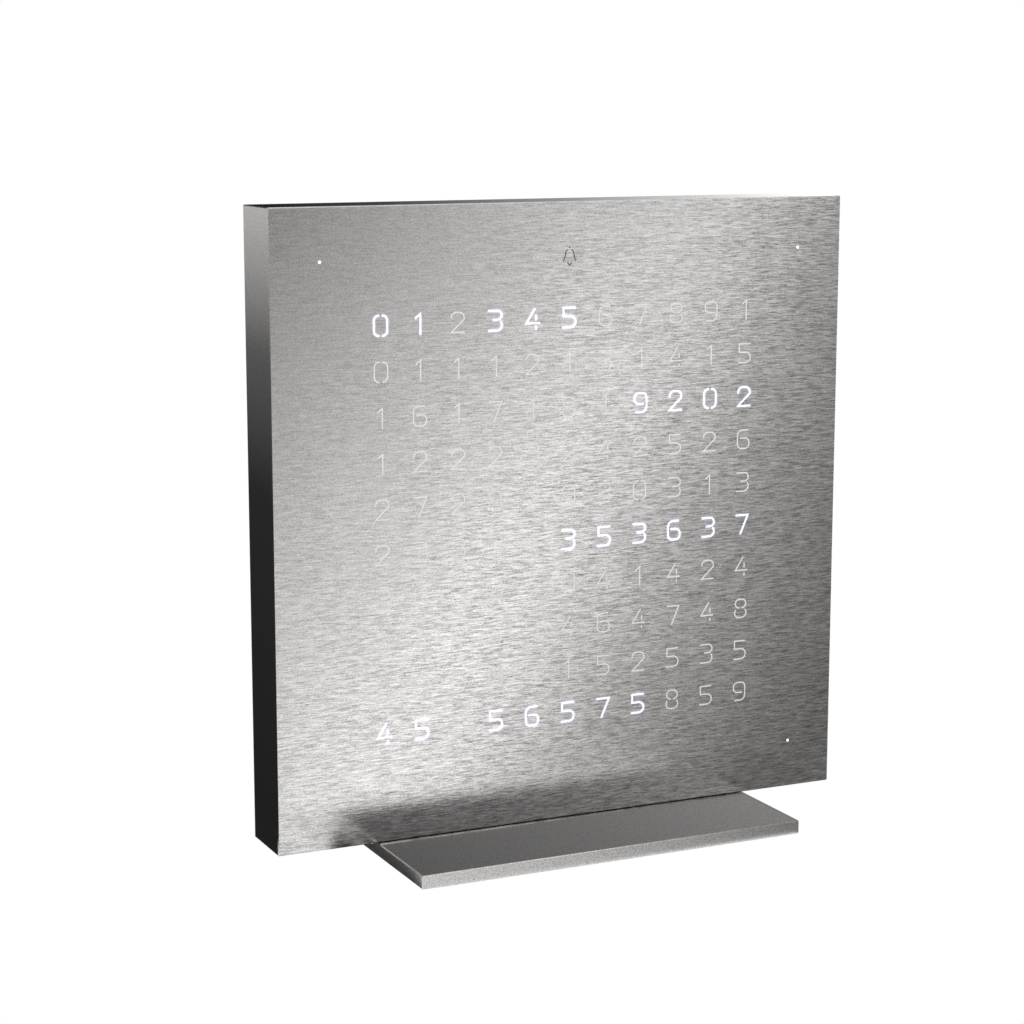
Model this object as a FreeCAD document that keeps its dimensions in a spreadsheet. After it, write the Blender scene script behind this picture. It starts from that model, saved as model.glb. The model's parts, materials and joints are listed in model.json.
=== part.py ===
import FreeCAD, Part
import os
import re
import Sketcher

# A table clock that tells the time with light behind a stencilled steel face.
# Millimetres. X runs to the right of the face, Y to the back and Z up.
# The origin lies on the table under the middle of the clock.

SIZES = {
    # steel cover
    "head_width": 135.0,
    "head_height": 135.0,
    "head_depth": 15.0,
    "cover_sheet": 1.0,
    "cover_edge": 0.2,
    "dot_hole": 0.9,
    "dot_inset": 11.0,
    # gaps between the cover, the shell and what the shell holds
    "side_gap": 0.25,
    "face_gap": 0.3,
    "panel_gap": 0.25,
    # moulded shell
    "shell_wall": 1.5,
    "back_wall": 1.7,
    "back_inset": 0.3,
    "shell_corner": 1.0,
    "shell_rib": 1.2,
    "shell_rib_depth": 2.5,
    "shell_rib_inset": 17.5,
    # field of signs
    "column_count": 11,
    "row_count": 10,
    "column_pitch": 8.67,
    "row_pitch": 9.62,
    "cell_wall": 1.3,
    "well_shrink": 1.0,
    # stack behind the face
    "diffuser_thickness": 0.8,
    "baffle_height": 5.0,
    "baffle_web": 1.0,
    "baffle_rim": 1.2,
    "baffle_rib": 1.0,
    "rib_step_columns": 3,
    "rib_step_rows": 3,
    "rib_count": 4,
    "board_thickness": 1.2,
    "dot_tube": 5.0,
    "dot_bore": 3.0,
    "bell_drop": 11.4,
    "bell_cell_width": 5.0,
    "bell_cell_height": 5.6,
    "locating_pin": 2.0,
    "locating_boss": 4.0,
    "hole_gap": 0.2,
    # light sources
    "led_length": 2.0,
    "led_width": 1.25,
    "led_height": 0.8,
    # magnets that hold the cover
    "magnet_inset": 5.5,
    "magnet_diameter": 5.0,
    "magnet_length": 3.0,
    "magnet_boss": 7.5,
    "magnet_fit": 0.05,
    "keeper_thickness": 0.4,
    "notch_gap": 0.4,
    # screws that clamp the baffle and the board to the shell
    "frame_screw_right": 57.0,
    "frame_screw_up": 30.0,
    "frame_shank": 2.4,
    "frame_head": 4.5,
    "frame_head_height": 1.5,
    "frame_screw_length": 8.0,
    "frame_seat_depth": 1.7,
    "screw_boss": 7.0,
    "post_side": 6.0,
    "thread_gap": 0.05,
    "shank_gap": 0.2,
    # foot
    "foot_width": 90.0,
    "foot_depth": 63.0,
    "foot_thickness": 3.0,
    "foot_edge": 0.2,
    "foot_gap": 0.1,
    "pad_thickness": 0.5,
    "pad_inset": 1.5,
    "pad_corner": 3.0,
    "foot_screw_spacing": 50.0,
    "foot_shank": 3.9,
    "foot_head": 7.8,
    "foot_screw_length": 10.0,
    "foot_boss_width": 14.0,
    "foot_boss_depth": 9.0,
    "boss_gap": 0.4,
    "bracket_length": 70.0,
    "bracket_depth": 9.0,
    "bracket_height": 6.0,
    "bracket_gap": 1.0,
    # keys on the back
    "key_spacing": 12.0,
    "key_up": 32.0,
    "key_count": 4,
    "key_cap": 5.0,
    "key_flange": 7.0,
    "key_flange_thickness": 0.8,
    "key_proud": 0.6,
    "key_edge": 0.3,
    "key_gap": 0.15,
    "key_rest_gap": 0.1,
    "switch_side": 6.0,
    "switch_height": 3.1,
    "plunger_diameter": 3.5,
    "plunger_seat": 0.5,
    "plunger_gap": 0.05,
    "plunger_well": 1.2,
    # power inlet
    "socket_up": 16.5,
    "socket_width": 9.0,
    "socket_height": 3.2,
    "socket_wall": 0.3,
    "socket_floor": 0.6,
    "socket_inset": 0.3,
    "socket_hole_gap": 0.3,
    "tongue_width": 6.7,
    "tongue_thickness": 0.7,
    "tongue_depth": 4.6,
    # parts on the back of the board
    "buzzer_left": 34.0,
    "buzzer_up": 18.0,
    "buzzer_diameter": 12.0,
    "buzzer_height": 4.2,
    "buzzer_mouth": 2.5,
    "sound_slit_length": 7.0,
    "sound_slit": 0.9,
    "sound_slit_spacing": 1.8,
    "sound_slit_count": 5,
    "battery_right": 34.0,
    "battery_up": 18.0,
    "cell_diameter": 12.5,
    "cell_thickness": 2.0,
    "cell_cap": 10.5,
    "cell_cap_height": 0.3,
    "holder_wall": 1.0,
    "holder_floor": 0.5,
    "holder_mouth": 8.0,
    "chip_side": 10.0,
    "chip_height": 1.4,
    "driver_length": 10.3,
    "driver_width": 7.5,
    "driver_height": 2.3,
    "driver_spacing": 22.0,
    "driver_up": 38.0,
    "driver_count": 4,
    "crystal_left": 14.0,
    "crystal_length": 8.0,
    "crystal_width": 3.8,
    "crystal_height": 2.5,
    "capacitor_diameter": 6.3,
    "capacitor_height": 4.4,
    "capacitor_base": 1.0,
    "capacitor_left": 28.0,
    "capacitor_spacing": 8.5,
    "capacitor_up": 23.5,
    "regulator_right": 24.0,
    "regulator_length": 6.5,
    "regulator_width": 3.5,
    "regulator_height": 1.7,
    "sensor_right": 40.0,
    "sensor_drop": 11.5,
    "sensor_length": 3.2,
    "sensor_width": 1.6,
    "sensor_height": 1.1,
    "pipe_diameter": 3.0,
    "pipe_collar": 4.4,
    "pipe_collar_thickness": 0.8,
    "pipe_gap": 0.3,
    # spring contact that makes the steel cover a touch key
    "contact_right": 26.0,
    "contact_width": 3.0,
    "contact_strip": 0.25,
    "contact_base": 3.0,
    "contact_tip": 2.0,
    "contact_edge_gap": 1.5,
    "contact_notch_width": 6.0,
    "contact_notch_depth": 6.0,
    "contact_touch_gap": 0.05,
}

# Places and sizes that follow from the sheet, each a formula in its words.
PLACES = {
    "front_y": "-head_depth / 2",
    "cover_back_y": "front_y + cover_sheet",
    "rim_y": "cover_back_y + face_gap",
    "baffle_front_y": "rim_y + diffuser_thickness",
    "board_front_y": "baffle_front_y + baffle_height",
    "board_back_y": "board_front_y + board_thickness",
    "back_y": "head_depth / 2 - back_inset",
    "back_inner_y": "back_y - back_wall",
    "foot_top_z": "pad_thickness + foot_thickness",
    "head_bottom_z": "foot_top_z + foot_gap",
    "head_centre_z": "head_bottom_z + head_height / 2",
    "shell_width": "head_width - 2 * (cover_sheet + side_gap)",
    "shell_height": "head_height - 2 * (cover_sheet + side_gap)",
    "room_width": "shell_width - 2 * shell_wall",
    "room_height": "shell_height - 2 * shell_wall",
    "panel_width": "room_width - 2 * panel_gap",
    "panel_height": "room_height - 2 * panel_gap",
    "field_width": "(column_count - 1) * column_pitch",
    "field_height": "(row_count - 1) * row_pitch",
    "cell_width": "column_pitch - cell_wall",
    "cell_height": "row_pitch - cell_wall",
    "dot_right": "head_width / 2 - dot_inset",
    "dot_up": "head_height / 2 - dot_inset",
    "bell_up": "head_height / 2 - bell_drop",
    "magnet_right": "head_width / 2 - magnet_inset",
    "magnet_up": "head_height / 2 - magnet_inset",
    "magnet_front_y": "cover_back_y + keeper_thickness + magnet_fit",
    "notch_diameter": "magnet_boss + 2 * notch_gap",
    "frame_seat_y": "baffle_front_y + frame_seat_depth",
    "floor_z": "-room_height / 2",
    "key_z": "-head_height / 2 + key_up",
    "key_flange_back_y": "back_inner_y - key_rest_gap",
    "key_flange_front_y": "key_flange_back_y - key_flange_thickness",
    "switch_top_y": "board_back_y + switch_height",
    "socket_z": "-head_height / 2 + socket_up",
    "socket_mouth_y": "back_y - socket_inset",
    "capacitor_z": "-head_height / 2 + capacitor_up",
    "sensor_z": "head_height / 2 - sensor_drop",
    "contact_top_z": "room_height / 2 - contact_edge_gap",
    "pipe_front_y": "board_back_y + sensor_height + pipe_gap",
}

HEAD = "head_centre_z"
TABLE = "0"


def formula(text):
    """Write a formula's words as cells of the sheet."""
    def cell(match):
        word = match.group(0)
        if word in PLACES:
            return "(" + formula(PLACES[word]) + ")"
        if word in SIZES:
            return "sizes." + word
        return word
    return re.sub(r"[a-z][a-z_0-9]*", cell, text)


document = FreeCAD.newDocument("word_clock")
sheet = document.addObject("Spreadsheet::Sheet", "sizes")
for line, (word, number) in enumerate(SIZES.items(), start=1):
    sheet.set("A" + str(line), word.replace("_", " "))
    sheet.set("B" + str(line), str(number))
    sheet.setAlias("B" + str(line), word)
document.recompute()

bodies = []


def new_body(label, level=HEAD, right="0"):
    """A named piece, with its own origin at a height above the table."""
    body = document.addObject("PartDesign::Body", label)
    body.Label = label
    body.setExpression("Placement.Base.x", formula(right))
    body.setExpression("Placement.Base.z", formula(level))
    bodies.append(body)
    return body


def own(body, role):
    """One of the planes or axes of a body's own origin."""
    return next(item for item in body.Origin.OriginFeatures if item.Role == role)


def bind(item, settings):
    """Tie properties of a feature to formulas."""
    for name, text in settings.items():
        item.setExpression(name, formula(text))


def new_sketch(body, name, plane, at, out):
    """A sketch on a plane of the body, moved within it and out along its normal."""
    sketch = body.newObject("Sketcher::SketchObject", name)
    sketch.AttachmentSupport = [(own(body, plane), "")]
    sketch.MapMode = "FlatFace"
    bind(sketch, {
        "AttachmentOffset.Base.x": at[0],
        "AttachmentOffset.Base.y": at[1],
        "AttachmentOffset.Base.z": out,
    })
    return sketch


def measure(sketch, kind, places, text):
    """A dimension of a sketch that follows a formula."""
    number = sketch.addConstraint(Sketcher.Constraint(kind, *places, 1.0))
    sketch.setExpression("Constraints[" + str(number) + "]", formula(text))


def rectangle(width, height):
    """Draws a rectangle about the sketch's own centre."""
    def draw(sketch):
        first = sketch.GeometryCount
        corners = [(-1, -1), (1, -1), (1, 1), (-1, 1)]
        points = [FreeCAD.Vector(x, y, 0) for x, y in corners]
        for side in range(4):
            sketch.addGeometry(Part.LineSegment(points[side], points[(side + 1) % 4]), False)
        for side in range(4):
            following = first + (side + 1) % 4
            sketch.addConstraint(Sketcher.Constraint("Coincident", first + side, 2, following, 1))
            level = "Vertical" if side % 2 else "Horizontal"
            sketch.addConstraint(Sketcher.Constraint(level, first + side))
        sketch.addConstraint(Sketcher.Constraint("Symmetric", first, 1, first + 2, 1, -1, 1))
        measure(sketch, "DistanceX", (first, 1, first, 2), width)
        measure(sketch, "DistanceY", (first + 1, 1, first + 1, 2), height)
    return draw


def circle(diameter):
    """Draws a circle about the sketch's own centre."""
    def draw(sketch):
        ring = sketch.addGeometry(Part.Circle(), False)
        sketch.addConstraint(Sketcher.Constraint("Coincident", ring, 3, -1, 1))
        measure(sketch, "Diameter", (ring,), diameter)
    return draw


def rounded_slot(width, height):
    """Draws a level slot with half-round ends about the sketch's own centre."""
    def draw(sketch):
        up = FreeCAD.Vector(0, 0, 1)
        right_end = Part.Circle(FreeCAD.Vector(2, 0, 0), up, 1)
        left_end = Part.Circle(FreeCAD.Vector(-2, 0, 0), up, 1)
        half_turn = 1.5707963
        right = sketch.addGeometry(Part.ArcOfCircle(right_end, -half_turn, half_turn), False)
        left = sketch.addGeometry(Part.ArcOfCircle(left_end, half_turn, 3 * half_turn), False)
        top_line = Part.LineSegment(FreeCAD.Vector(2, 1, 0), FreeCAD.Vector(-2, 1, 0))
        low_line = Part.LineSegment(FreeCAD.Vector(-2, -1, 0), FreeCAD.Vector(2, -1, 0))
        top = sketch.addGeometry(top_line, False)
        low = sketch.addGeometry(low_line, False)
        sketch.addConstraint(Sketcher.Constraint("Tangent", right, 2, top, 1))
        sketch.addConstraint(Sketcher.Constraint("Tangent", top, 2, left, 1))
        sketch.addConstraint(Sketcher.Constraint("Tangent", left, 2, low, 1))
        sketch.addConstraint(Sketcher.Constraint("Tangent", low, 2, right, 1))
        sketch.addConstraint(Sketcher.Constraint("Horizontal", top))
        sketch.addConstraint(Sketcher.Constraint("Equal", left, right))
        sketch.addConstraint(Sketcher.Constraint("Symmetric", left, 3, right, 3, -1, 1))
        measure(sketch, "Radius", (right,), "(" + height + ") / 2")
        measure(sketch, "DistanceX", (left, 3, right, 3), "(" + width + ") - (" + height + ")")
    return draw


def add(body, name, shapes, front, back, at=("0", "0")):
    """Material between two Y levels, from an outline as seen from the front."""
    sketch = new_sketch(body, name + "_outline", "XZ_Plane", at, "-(" + back + ")")
    for draw in shapes:
        draw(sketch)
    pad = body.newObject("PartDesign::Pad", name)
    pad.Profile = sketch
    bind(pad, {"Length": "(" + back + ") - (" + front + ")"})
    document.recompute()
    return pad


def cut(body, name, shapes, front, back, at=("0", "0")):
    """A pocket between two Y levels."""
    before = body.Shape.Volume
    sketch = new_sketch(body, name + "_outline", "XZ_Plane", at, "-(" + front + ")")
    for draw in shapes:
        draw(sketch)
    pocket = body.newObject("PartDesign::Pocket", name)
    pocket.Profile = sketch
    bind(pocket, {"Length": "(" + back + ") - (" + front + ")"})
    document.recompute()
    check_cut(pocket, before)
    return pocket


def cut_wedge(body, name, width, height, shrink, at):
    """A well through the baffle that narrows on all four sides towards the board."""
    before = body.Shape.Volume
    wedge = body.newObject("PartDesign::SubtractiveWedge", name)
    bind(wedge, {
        "Ymin": "baffle_front_y",
        "Ymax": "board_front_y",
        "Xmin": at[0] + " - (" + width + ") / 2",
        "Xmax": at[0] + " + (" + width + ") / 2",
        "Zmin": at[1] + " - (" + height + ") / 2",
        "Zmax": at[1] + " + (" + height + ") / 2",
        "X2min": at[0] + " - (" + width + ") / 2 + " + shrink,
        "X2max": at[0] + " + (" + width + ") / 2 - " + shrink,
        "Z2min": at[1] + " - (" + height + ") / 2 + " + shrink,
        "Z2max": at[1] + " + (" + height + ") / 2 - " + shrink,
    })
    document.recompute()
    check_cut(wedge, before)
    return wedge


def raise_up(body, name, shapes, low, high, at=("0", "0")):
    """Material between two heights, from an outline as seen from above."""
    sketch = new_sketch(body, name + "_outline", "XY_Plane", at, low)
    for draw in shapes:
        draw(sketch)
    pad = body.newObject("PartDesign::Pad", name)
    pad.Profile = sketch
    bind(pad, {"Length": "(" + high + ") - (" + low + ")"})
    document.recompute()
    return pad


def cut_down(body, name, shapes, low, high, at=("0", "0")):
    """A pocket between two heights."""
    before = body.Shape.Volume
    sketch = new_sketch(body, name + "_outline", "XY_Plane", at, high)
    for draw in shapes:
        draw(sketch)
    pocket = body.newObject("PartDesign::Pocket", name)
    pocket.Profile = sketch
    bind(pocket, {"Length": "(" + high + ") - (" + low + ")"})
    document.recompute()
    check_cut(pocket, before)
    return pocket


def check_cut(feature, before):
    """A cut that takes nothing away points the wrong way."""
    if not feature.Shape.Volume < before:
        raise ValueError(feature.Name + " cuts nothing")


def repeat(body, name, feature, across, up, counts=("2", "2"), second="Z_Axis"):
    """Copies of a feature in rows along X and along a second axis."""
    pattern = body.newObject("PartDesign::LinearPattern", name)
    pattern.Originals = feature if isinstance(feature, list) else [feature]
    pattern.Direction = (own(body, "X_Axis"), [""])
    pattern.Direction2 = (own(body, second), [""])
    bind(pattern, {
        "Length": across,
        "Occurrences": counts[0],
        "Length2": up,
        "Occurrences2": counts[1],
    })
    body.Tip = pattern
    document.recompute()
    return pattern


def repeat_across(body, name, feature, across, count):
    """Copies of a feature in one row along X."""
    pattern = body.newObject("PartDesign::LinearPattern", name)
    pattern.Originals = feature if isinstance(feature, list) else [feature]
    pattern.Direction = (own(body, "X_Axis"), [""])
    bind(pattern, {"Length": across, "Occurrences": count})
    body.Tip = pattern
    document.recompute()
    return pattern


def repeat_up(body, name, feature, up, count):
    """Copies of a feature in one column along Z."""
    pattern = body.newObject("PartDesign::LinearPattern", name)
    pattern.Originals = feature if isinstance(feature, list) else [feature]
    pattern.Direction = (own(body, "Z_Axis"), [""])
    bind(pattern, {"Length": up, "Occurrences": count})
    body.Tip = pattern
    document.recompute()
    return pattern


def edges_along(feature, axis):
    """Names of a feature's straight edges that run along an axis."""
    names = []
    for number, edge in enumerate(feature.Shape.Edges, start=1):
        if len(edge.Vertexes) < 2:
            continue
        run = edge.Vertexes[1].Point - edge.Vertexes[0].Point
        if abs(run.normalize().dot(axis)) > 0.999:
            names.append("Edge" + str(number))
    return names


def round_edges(body, name, feature, radius, axis):
    """Rounds the edges of a feature that run along one axis."""
    fillet = body.newObject("PartDesign::Fillet", name)
    fillet.Base = (feature, edges_along(feature, axis))
    bind(fillet, {"Radius": radius})
    document.recompute()
    return fillet


def break_edges(body, name, feature, width):
    """Takes the sharpness off every edge of a feature."""
    chamfer = body.newObject("PartDesign::Chamfer", name)
    chamfer.Base = (feature, ["Edge1"])
    chamfer.UseAllEdges = True
    bind(chamfer, {"Size": width})
    document.recompute()
    return chamfer


def corner(right, up):
    """The lower left one of four places that lie square about the middle."""
    return ("-(" + right + ")", "-(" + up + ")")


def at_four_corners(body, name, feature, right, up):
    """Copies a feature from the lower left place to all four."""
    return repeat(body, name, feature, "2 * (" + right + ")", "2 * (" + up + ")")


def inner_panel(label, front, back):
    """A named panel that fills the room inside the shell."""
    body = new_body(label)
    add(body, "panel", [rectangle("panel_width", "panel_height")], front, back)
    return body


def trim_panel(body, front, back, notch_for_contact):
    """Cuts a panel clear of the magnet bosses, the foot bar and the spring contact."""
    notch = cut(body, "magnet_notch", [circle("notch_diameter")], front, back,
                corner("magnet_right", "magnet_up"))
    at_four_corners(body, "magnet_notches", notch, "magnet_right", "magnet_up")
    cut(body, "bar_notch",
        [rectangle("bracket_length + 2 * bracket_gap", "2 * (bracket_height + bracket_gap)")],
        front, back, ("0", "floor_z"))
    if notch_for_contact:
        cut(body, "contact_notch",
            [rectangle("contact_notch_width", "2 * contact_notch_depth")],
            front, back, ("contact_right", "panel_height / 2"))


# front cover: a tray of sheet steel that slips over the whole shell

cover = new_body("front_cover")
cover_block = add(cover, "block", [rectangle("head_width", "head_height")],
                  "front_y", "-front_y")
break_edges(cover, "broken_edges", cover_block, "cover_edge")
# the hollow opens to the back, so its sketch lies on the plate's inner face
cut(cover, "hollow",
    [rectangle("head_width - 2 * cover_sheet", "head_height - 2 * cover_sheet")],
    "cover_back_y", "-front_y")
dot = cut(cover, "dot_hole", [circle("dot_hole")], "front_y", "cover_back_y",
          corner("dot_right", "dot_up"))
at_four_corners(cover, "dot_holes", dot, "dot_right", "dot_up")
slot = cut(cover, "foot_slot",
           [rectangle("foot_boss_width + 2 * boss_gap", "4 * cover_sheet")],
           "-(foot_boss_depth / 2 + boss_gap)", "-front_y",
           ("-foot_screw_spacing / 2", "-head_height / 2"))
repeat_across(cover, "foot_slots", slot, "foot_screw_spacing", "2")

# keeper discs: magnetic steel bonded inside the corners of the cover

keepers = new_body("keeper_discs")
keeper = add(keepers, "keeper", [circle("magnet_diameter")],
             "cover_back_y", "cover_back_y + keeper_thickness",
             corner("magnet_right", "magnet_up"))
at_four_corners(keepers, "keepers", keeper, "magnet_right", "magnet_up")

# diffuser: a milky sheet right behind the stencilled face

diffuser = inner_panel("diffuser_panel", "rim_y", "baffle_front_y")
trim_panel(diffuser, "rim_y", "baffle_front_y", True)
pin_hole = cut(diffuser, "pin_hole", [circle("locating_pin + hole_gap")],
               "rim_y", "baffle_front_y", ("-frame_screw_right", "0"))
repeat_across(diffuser, "pin_holes", pin_hole, "2 * frame_screw_right", "2")

# light baffle: a moulded lattice with one tapered well for each sign

baffle = inner_panel("light_baffle", "board_front_y - baffle_web", "board_front_y")
add(baffle, "lattice_block",
    [rectangle("field_width + column_pitch + cell_wall",
               "field_height + row_pitch + cell_wall")],
    "baffle_front_y", "board_front_y")
add(baffle, "rim",
    [rectangle("panel_width", "panel_height"),
     rectangle("panel_width - 2 * baffle_rim", "panel_height - 2 * baffle_rim")],
    "baffle_front_y", "board_front_y")
upright_rib = add(baffle, "upright_rib", [rectangle("baffle_rib", "panel_height")],
                  "baffle_front_y", "board_front_y",
                  ("-(rib_count - 1) / 2 * rib_step_columns * column_pitch", "0"))
repeat_across(baffle, "upright_ribs", upright_rib,
              "(rib_count - 1) * rib_step_columns * column_pitch", "rib_count")
level_rib = add(baffle, "level_rib", [rectangle("panel_width", "baffle_rib")],
                "baffle_front_y", "board_front_y",
                ("0", "-(rib_count - 1) / 2 * rib_step_rows * row_pitch"))
repeat_up(baffle, "level_ribs", level_rib,
          "(rib_count - 1) * rib_step_rows * row_pitch", "rib_count")
dot_tube = add(baffle, "dot_tube", [rectangle("dot_tube", "dot_tube")],
               "baffle_front_y", "board_front_y", corner("dot_right", "dot_up"))
at_four_corners(baffle, "dot_tubes", dot_tube, "dot_right", "dot_up")
add(baffle, "bell_block",
    [rectangle("bell_cell_width + 2 * cell_wall", "bell_cell_height + 2 * cell_wall")],
    "baffle_front_y", "board_front_y", ("0", "bell_up"))
screw_boss = add(baffle, "screw_boss", [rectangle("screw_boss", "screw_boss")],
                 "frame_seat_y", "board_front_y",
                 corner("frame_screw_right", "frame_screw_up"))
at_four_corners(baffle, "screw_bosses", screw_boss, "frame_screw_right", "frame_screw_up")
pin_boss = add(baffle, "pin_boss", [rectangle("locating_boss", "locating_boss")],
               "baffle_front_y", "board_front_y", ("-frame_screw_right", "0"))
repeat_across(baffle, "pin_bosses", pin_boss, "2 * frame_screw_right", "2")
pin = add(baffle, "locating_pin", [circle("locating_pin")],
          "rim_y", "baffle_front_y", ("-frame_screw_right", "0"))
repeat_across(baffle, "locating_pins", pin, "2 * frame_screw_right", "2")
cut_wedge(baffle, "bell_well", "bell_cell_width", "bell_cell_height", "well_shrink / 2",
          ("0", "bell_up"))
dot_bore = cut(baffle, "dot_bore", [rectangle("dot_bore", "dot_bore")],
               "baffle_front_y", "board_front_y", corner("dot_right", "dot_up"))
at_four_corners(baffle, "dot_bores", dot_bore, "dot_right", "dot_up")
screw_hole = cut(baffle, "screw_hole", [circle("frame_shank + 2 * shank_gap")],
                 "frame_seat_y", "board_front_y",
                 corner("frame_screw_right", "frame_screw_up"))
at_four_corners(baffle, "screw_holes", screw_hole, "frame_screw_right", "frame_screw_up")
trim_panel(baffle, "baffle_front_y", "board_front_y", True)
well = cut_wedge(baffle, "well", "cell_width", "cell_height", "well_shrink",
                 corner("field_width / 2", "field_height / 2"))
repeat(baffle, "wells", well, "field_width", "field_height",
       ("column_count", "row_count"))

# board with the light sources on its front and the electronics on its back

board = inner_panel("led_board", "board_front_y", "board_back_y")
board_hole = cut(board, "screw_hole", [circle("frame_shank + 2 * shank_gap")],
                 "board_front_y", "board_back_y",
                 corner("frame_screw_right", "frame_screw_up"))
at_four_corners(board, "screw_holes", board_hole, "frame_screw_right", "frame_screw_up")
trim_panel(board, "board_front_y", "board_back_y", False)

letter_leds = new_body("letter_leds")
led = add(letter_leds, "led", [rectangle("led_length", "led_width")],
          "board_front_y - led_height", "board_front_y",
          corner("field_width / 2", "field_height / 2"))
repeat(letter_leds, "leds", led, "field_width", "field_height",
       ("column_count", "row_count"))

minute_leds = new_body("minute_leds")
minute_led = add(minute_leds, "led", [rectangle("led_length", "led_width")],
                 "board_front_y - led_height", "board_front_y",
                 corner("dot_right", "dot_up"))
at_four_corners(minute_leds, "leds", minute_led, "dot_right", "dot_up")

bell_led = new_body("bell_led")
add(bell_led, "led", [rectangle("led_length", "led_width")],
    "board_front_y - led_height", "board_front_y", ("0", "bell_up"))

# rear shell: a moulded tray with posts, bosses and openings for what shows at the back

shell = new_body("rear_shell")
shell_block = add(shell, "block", [rectangle("shell_width", "shell_height")],
                  "rim_y", "back_y")
round_edges(shell, "round_corners", shell_block, "shell_corner", FreeCAD.Vector(0, 1, 0))
cut(shell, "room", [rectangle("room_width", "room_height")], "rim_y", "back_inner_y")
add(shell, "rib_frame",
    [rectangle("room_width - 2 * (shell_rib_inset - shell_rib)",
               "room_height - 2 * (shell_rib_inset - shell_rib)"),
     rectangle("room_width - 2 * shell_rib_inset", "room_height - 2 * shell_rib_inset")],
    "back_inner_y - shell_rib_depth", "back_inner_y")
post = add(shell, "screw_post", [rectangle("post_side", "post_side")],
           "board_back_y", "back_inner_y", corner("frame_screw_right", "frame_screw_up"))
at_four_corners(shell, "screw_posts", post, "frame_screw_right", "frame_screw_up")
post_hole = cut(shell, "post_hole", [circle("frame_shank + 2 * thread_gap")],
                "board_back_y", "back_inner_y",
                corner("frame_screw_right", "frame_screw_up"))
at_four_corners(shell, "post_holes", post_hole, "frame_screw_right", "frame_screw_up")
magnet_boss = add(shell, "magnet_boss", [circle("magnet_boss")],
                  "magnet_front_y", "back_inner_y", corner("magnet_right", "magnet_up"))
at_four_corners(shell, "magnet_bosses", magnet_boss, "magnet_right", "magnet_up")
magnet_pocket = cut(shell, "magnet_pocket", [circle("magnet_diameter + 2 * magnet_fit")],
                    "magnet_front_y", "magnet_front_y + magnet_length",
                    corner("magnet_right", "magnet_up"))
at_four_corners(shell, "magnet_pockets", magnet_pocket, "magnet_right", "magnet_up")
foot_boss = raise_up(shell, "foot_boss", [rectangle("foot_boss_width", "foot_boss_depth")],
                     "-head_height / 2 - foot_gap", "floor_z",
                     ("-foot_screw_spacing / 2", "0"))
repeat_across(shell, "foot_bosses", foot_boss, "foot_screw_spacing", "2")
foot_hole = cut_down(shell, "foot_hole", [circle("foot_shank + 2 * shank_gap")],
                     "-head_height / 2 - foot_gap", "floor_z",
                     ("-foot_screw_spacing / 2", "0"))
repeat_across(shell, "foot_holes", foot_hole, "foot_screw_spacing", "2")
key_hole = cut(shell, "key_hole", [circle("key_cap + 2 * key_gap")],
               "back_inner_y", "back_y",
               ("-(key_count - 1) / 2 * key_spacing", "key_z"))
repeat_across(shell, "key_holes", key_hole, "(key_count - 1) * key_spacing", "key_count")
cut(shell, "socket_hole",
    [rounded_slot("socket_width + 2 * socket_hole_gap", "socket_height + 2 * socket_hole_gap")],
    "back_inner_y", "back_y", ("0", "socket_z"))
sound = cut(shell, "sound_slit", [rectangle("sound_slit_length", "sound_slit")],
            "back_inner_y", "back_y",
            ("-buzzer_left", "buzzer_up - (sound_slit_count - 1) / 2 * sound_slit_spacing"))
repeat_up(shell, "sound_slits", sound,
          "(sound_slit_count - 1) * sound_slit_spacing", "sound_slit_count")
cut(shell, "pipe_hole", [circle("pipe_diameter + 2 * plunger_gap")],
    "back_inner_y", "back_y", ("sensor_right", "sensor_z"))

cover_magnets = new_body("cover_magnets")
magnet = add(cover_magnets, "magnet", [circle("magnet_diameter")],
             "magnet_front_y", "magnet_front_y + magnet_length",
             corner("magnet_right", "magnet_up"))
at_four_corners(cover_magnets, "magnets", magnet, "magnet_right", "magnet_up")

frame_screws = new_body("frame_screws")
shank = add(frame_screws, "shank", [circle("frame_shank")],
            "frame_seat_y", "frame_seat_y + frame_screw_length",
            corner("frame_screw_right", "frame_screw_up"))
head = add(frame_screws, "head", [circle("frame_head")],
           "frame_seat_y - frame_head_height", "frame_seat_y",
           corner("frame_screw_right", "frame_screw_up"))
at_four_corners(frame_screws, "screws", [shank, head], "frame_screw_right", "frame_screw_up")

# foot: a heavy steel plate under the head, with a steel bar above it in the shell

bracket = new_body("foot_bracket")
raise_up(bracket, "bar", [rectangle("bracket_length", "bracket_depth")],
         "floor_z", "floor_z + bracket_height")
bar_hole = cut_down(bracket, "bar_hole", [circle("foot_shank + 2 * thread_gap")],
                    "floor_z", "floor_z + bracket_height",
                    ("-foot_screw_spacing / 2", "0"))
repeat_across(bracket, "bar_holes", bar_hole, "foot_screw_spacing", "2")

foot = new_body("foot_plate", TABLE)
foot_block = raise_up(foot, "plate", [rectangle("foot_width", "foot_depth")],
                      "pad_thickness", "foot_top_z")
break_edges(foot, "broken_edges", foot_block, "foot_edge")
hole_sketch = new_sketch(foot, "screw_places", "XY_Plane", ("0", "0"), "pad_thickness")
for side, sign in (("left", "-"), ("right", "")):
    place = hole_sketch.addGeometry(Part.Circle(), False)
    measure(hole_sketch, "Diameter", (place,), "foot_shank")
    measure(hole_sketch, "DistanceX", (-1, 1, place, 3), sign + "foot_screw_spacing / 2")
    measure(hole_sketch, "DistanceY", (-1, 1, place, 3), "0")
document.recompute()
holes = foot.newObject("PartDesign::Hole", "countersunk_holes")
holes.Profile = hole_sketch
holes.DepthType = "ThroughAll"
holes.HoleCutType = "Countersink"
holes.HoleCutCustomValues = True
holes.HoleCutCountersinkAngle = 90
holes.Reversed = True
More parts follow.
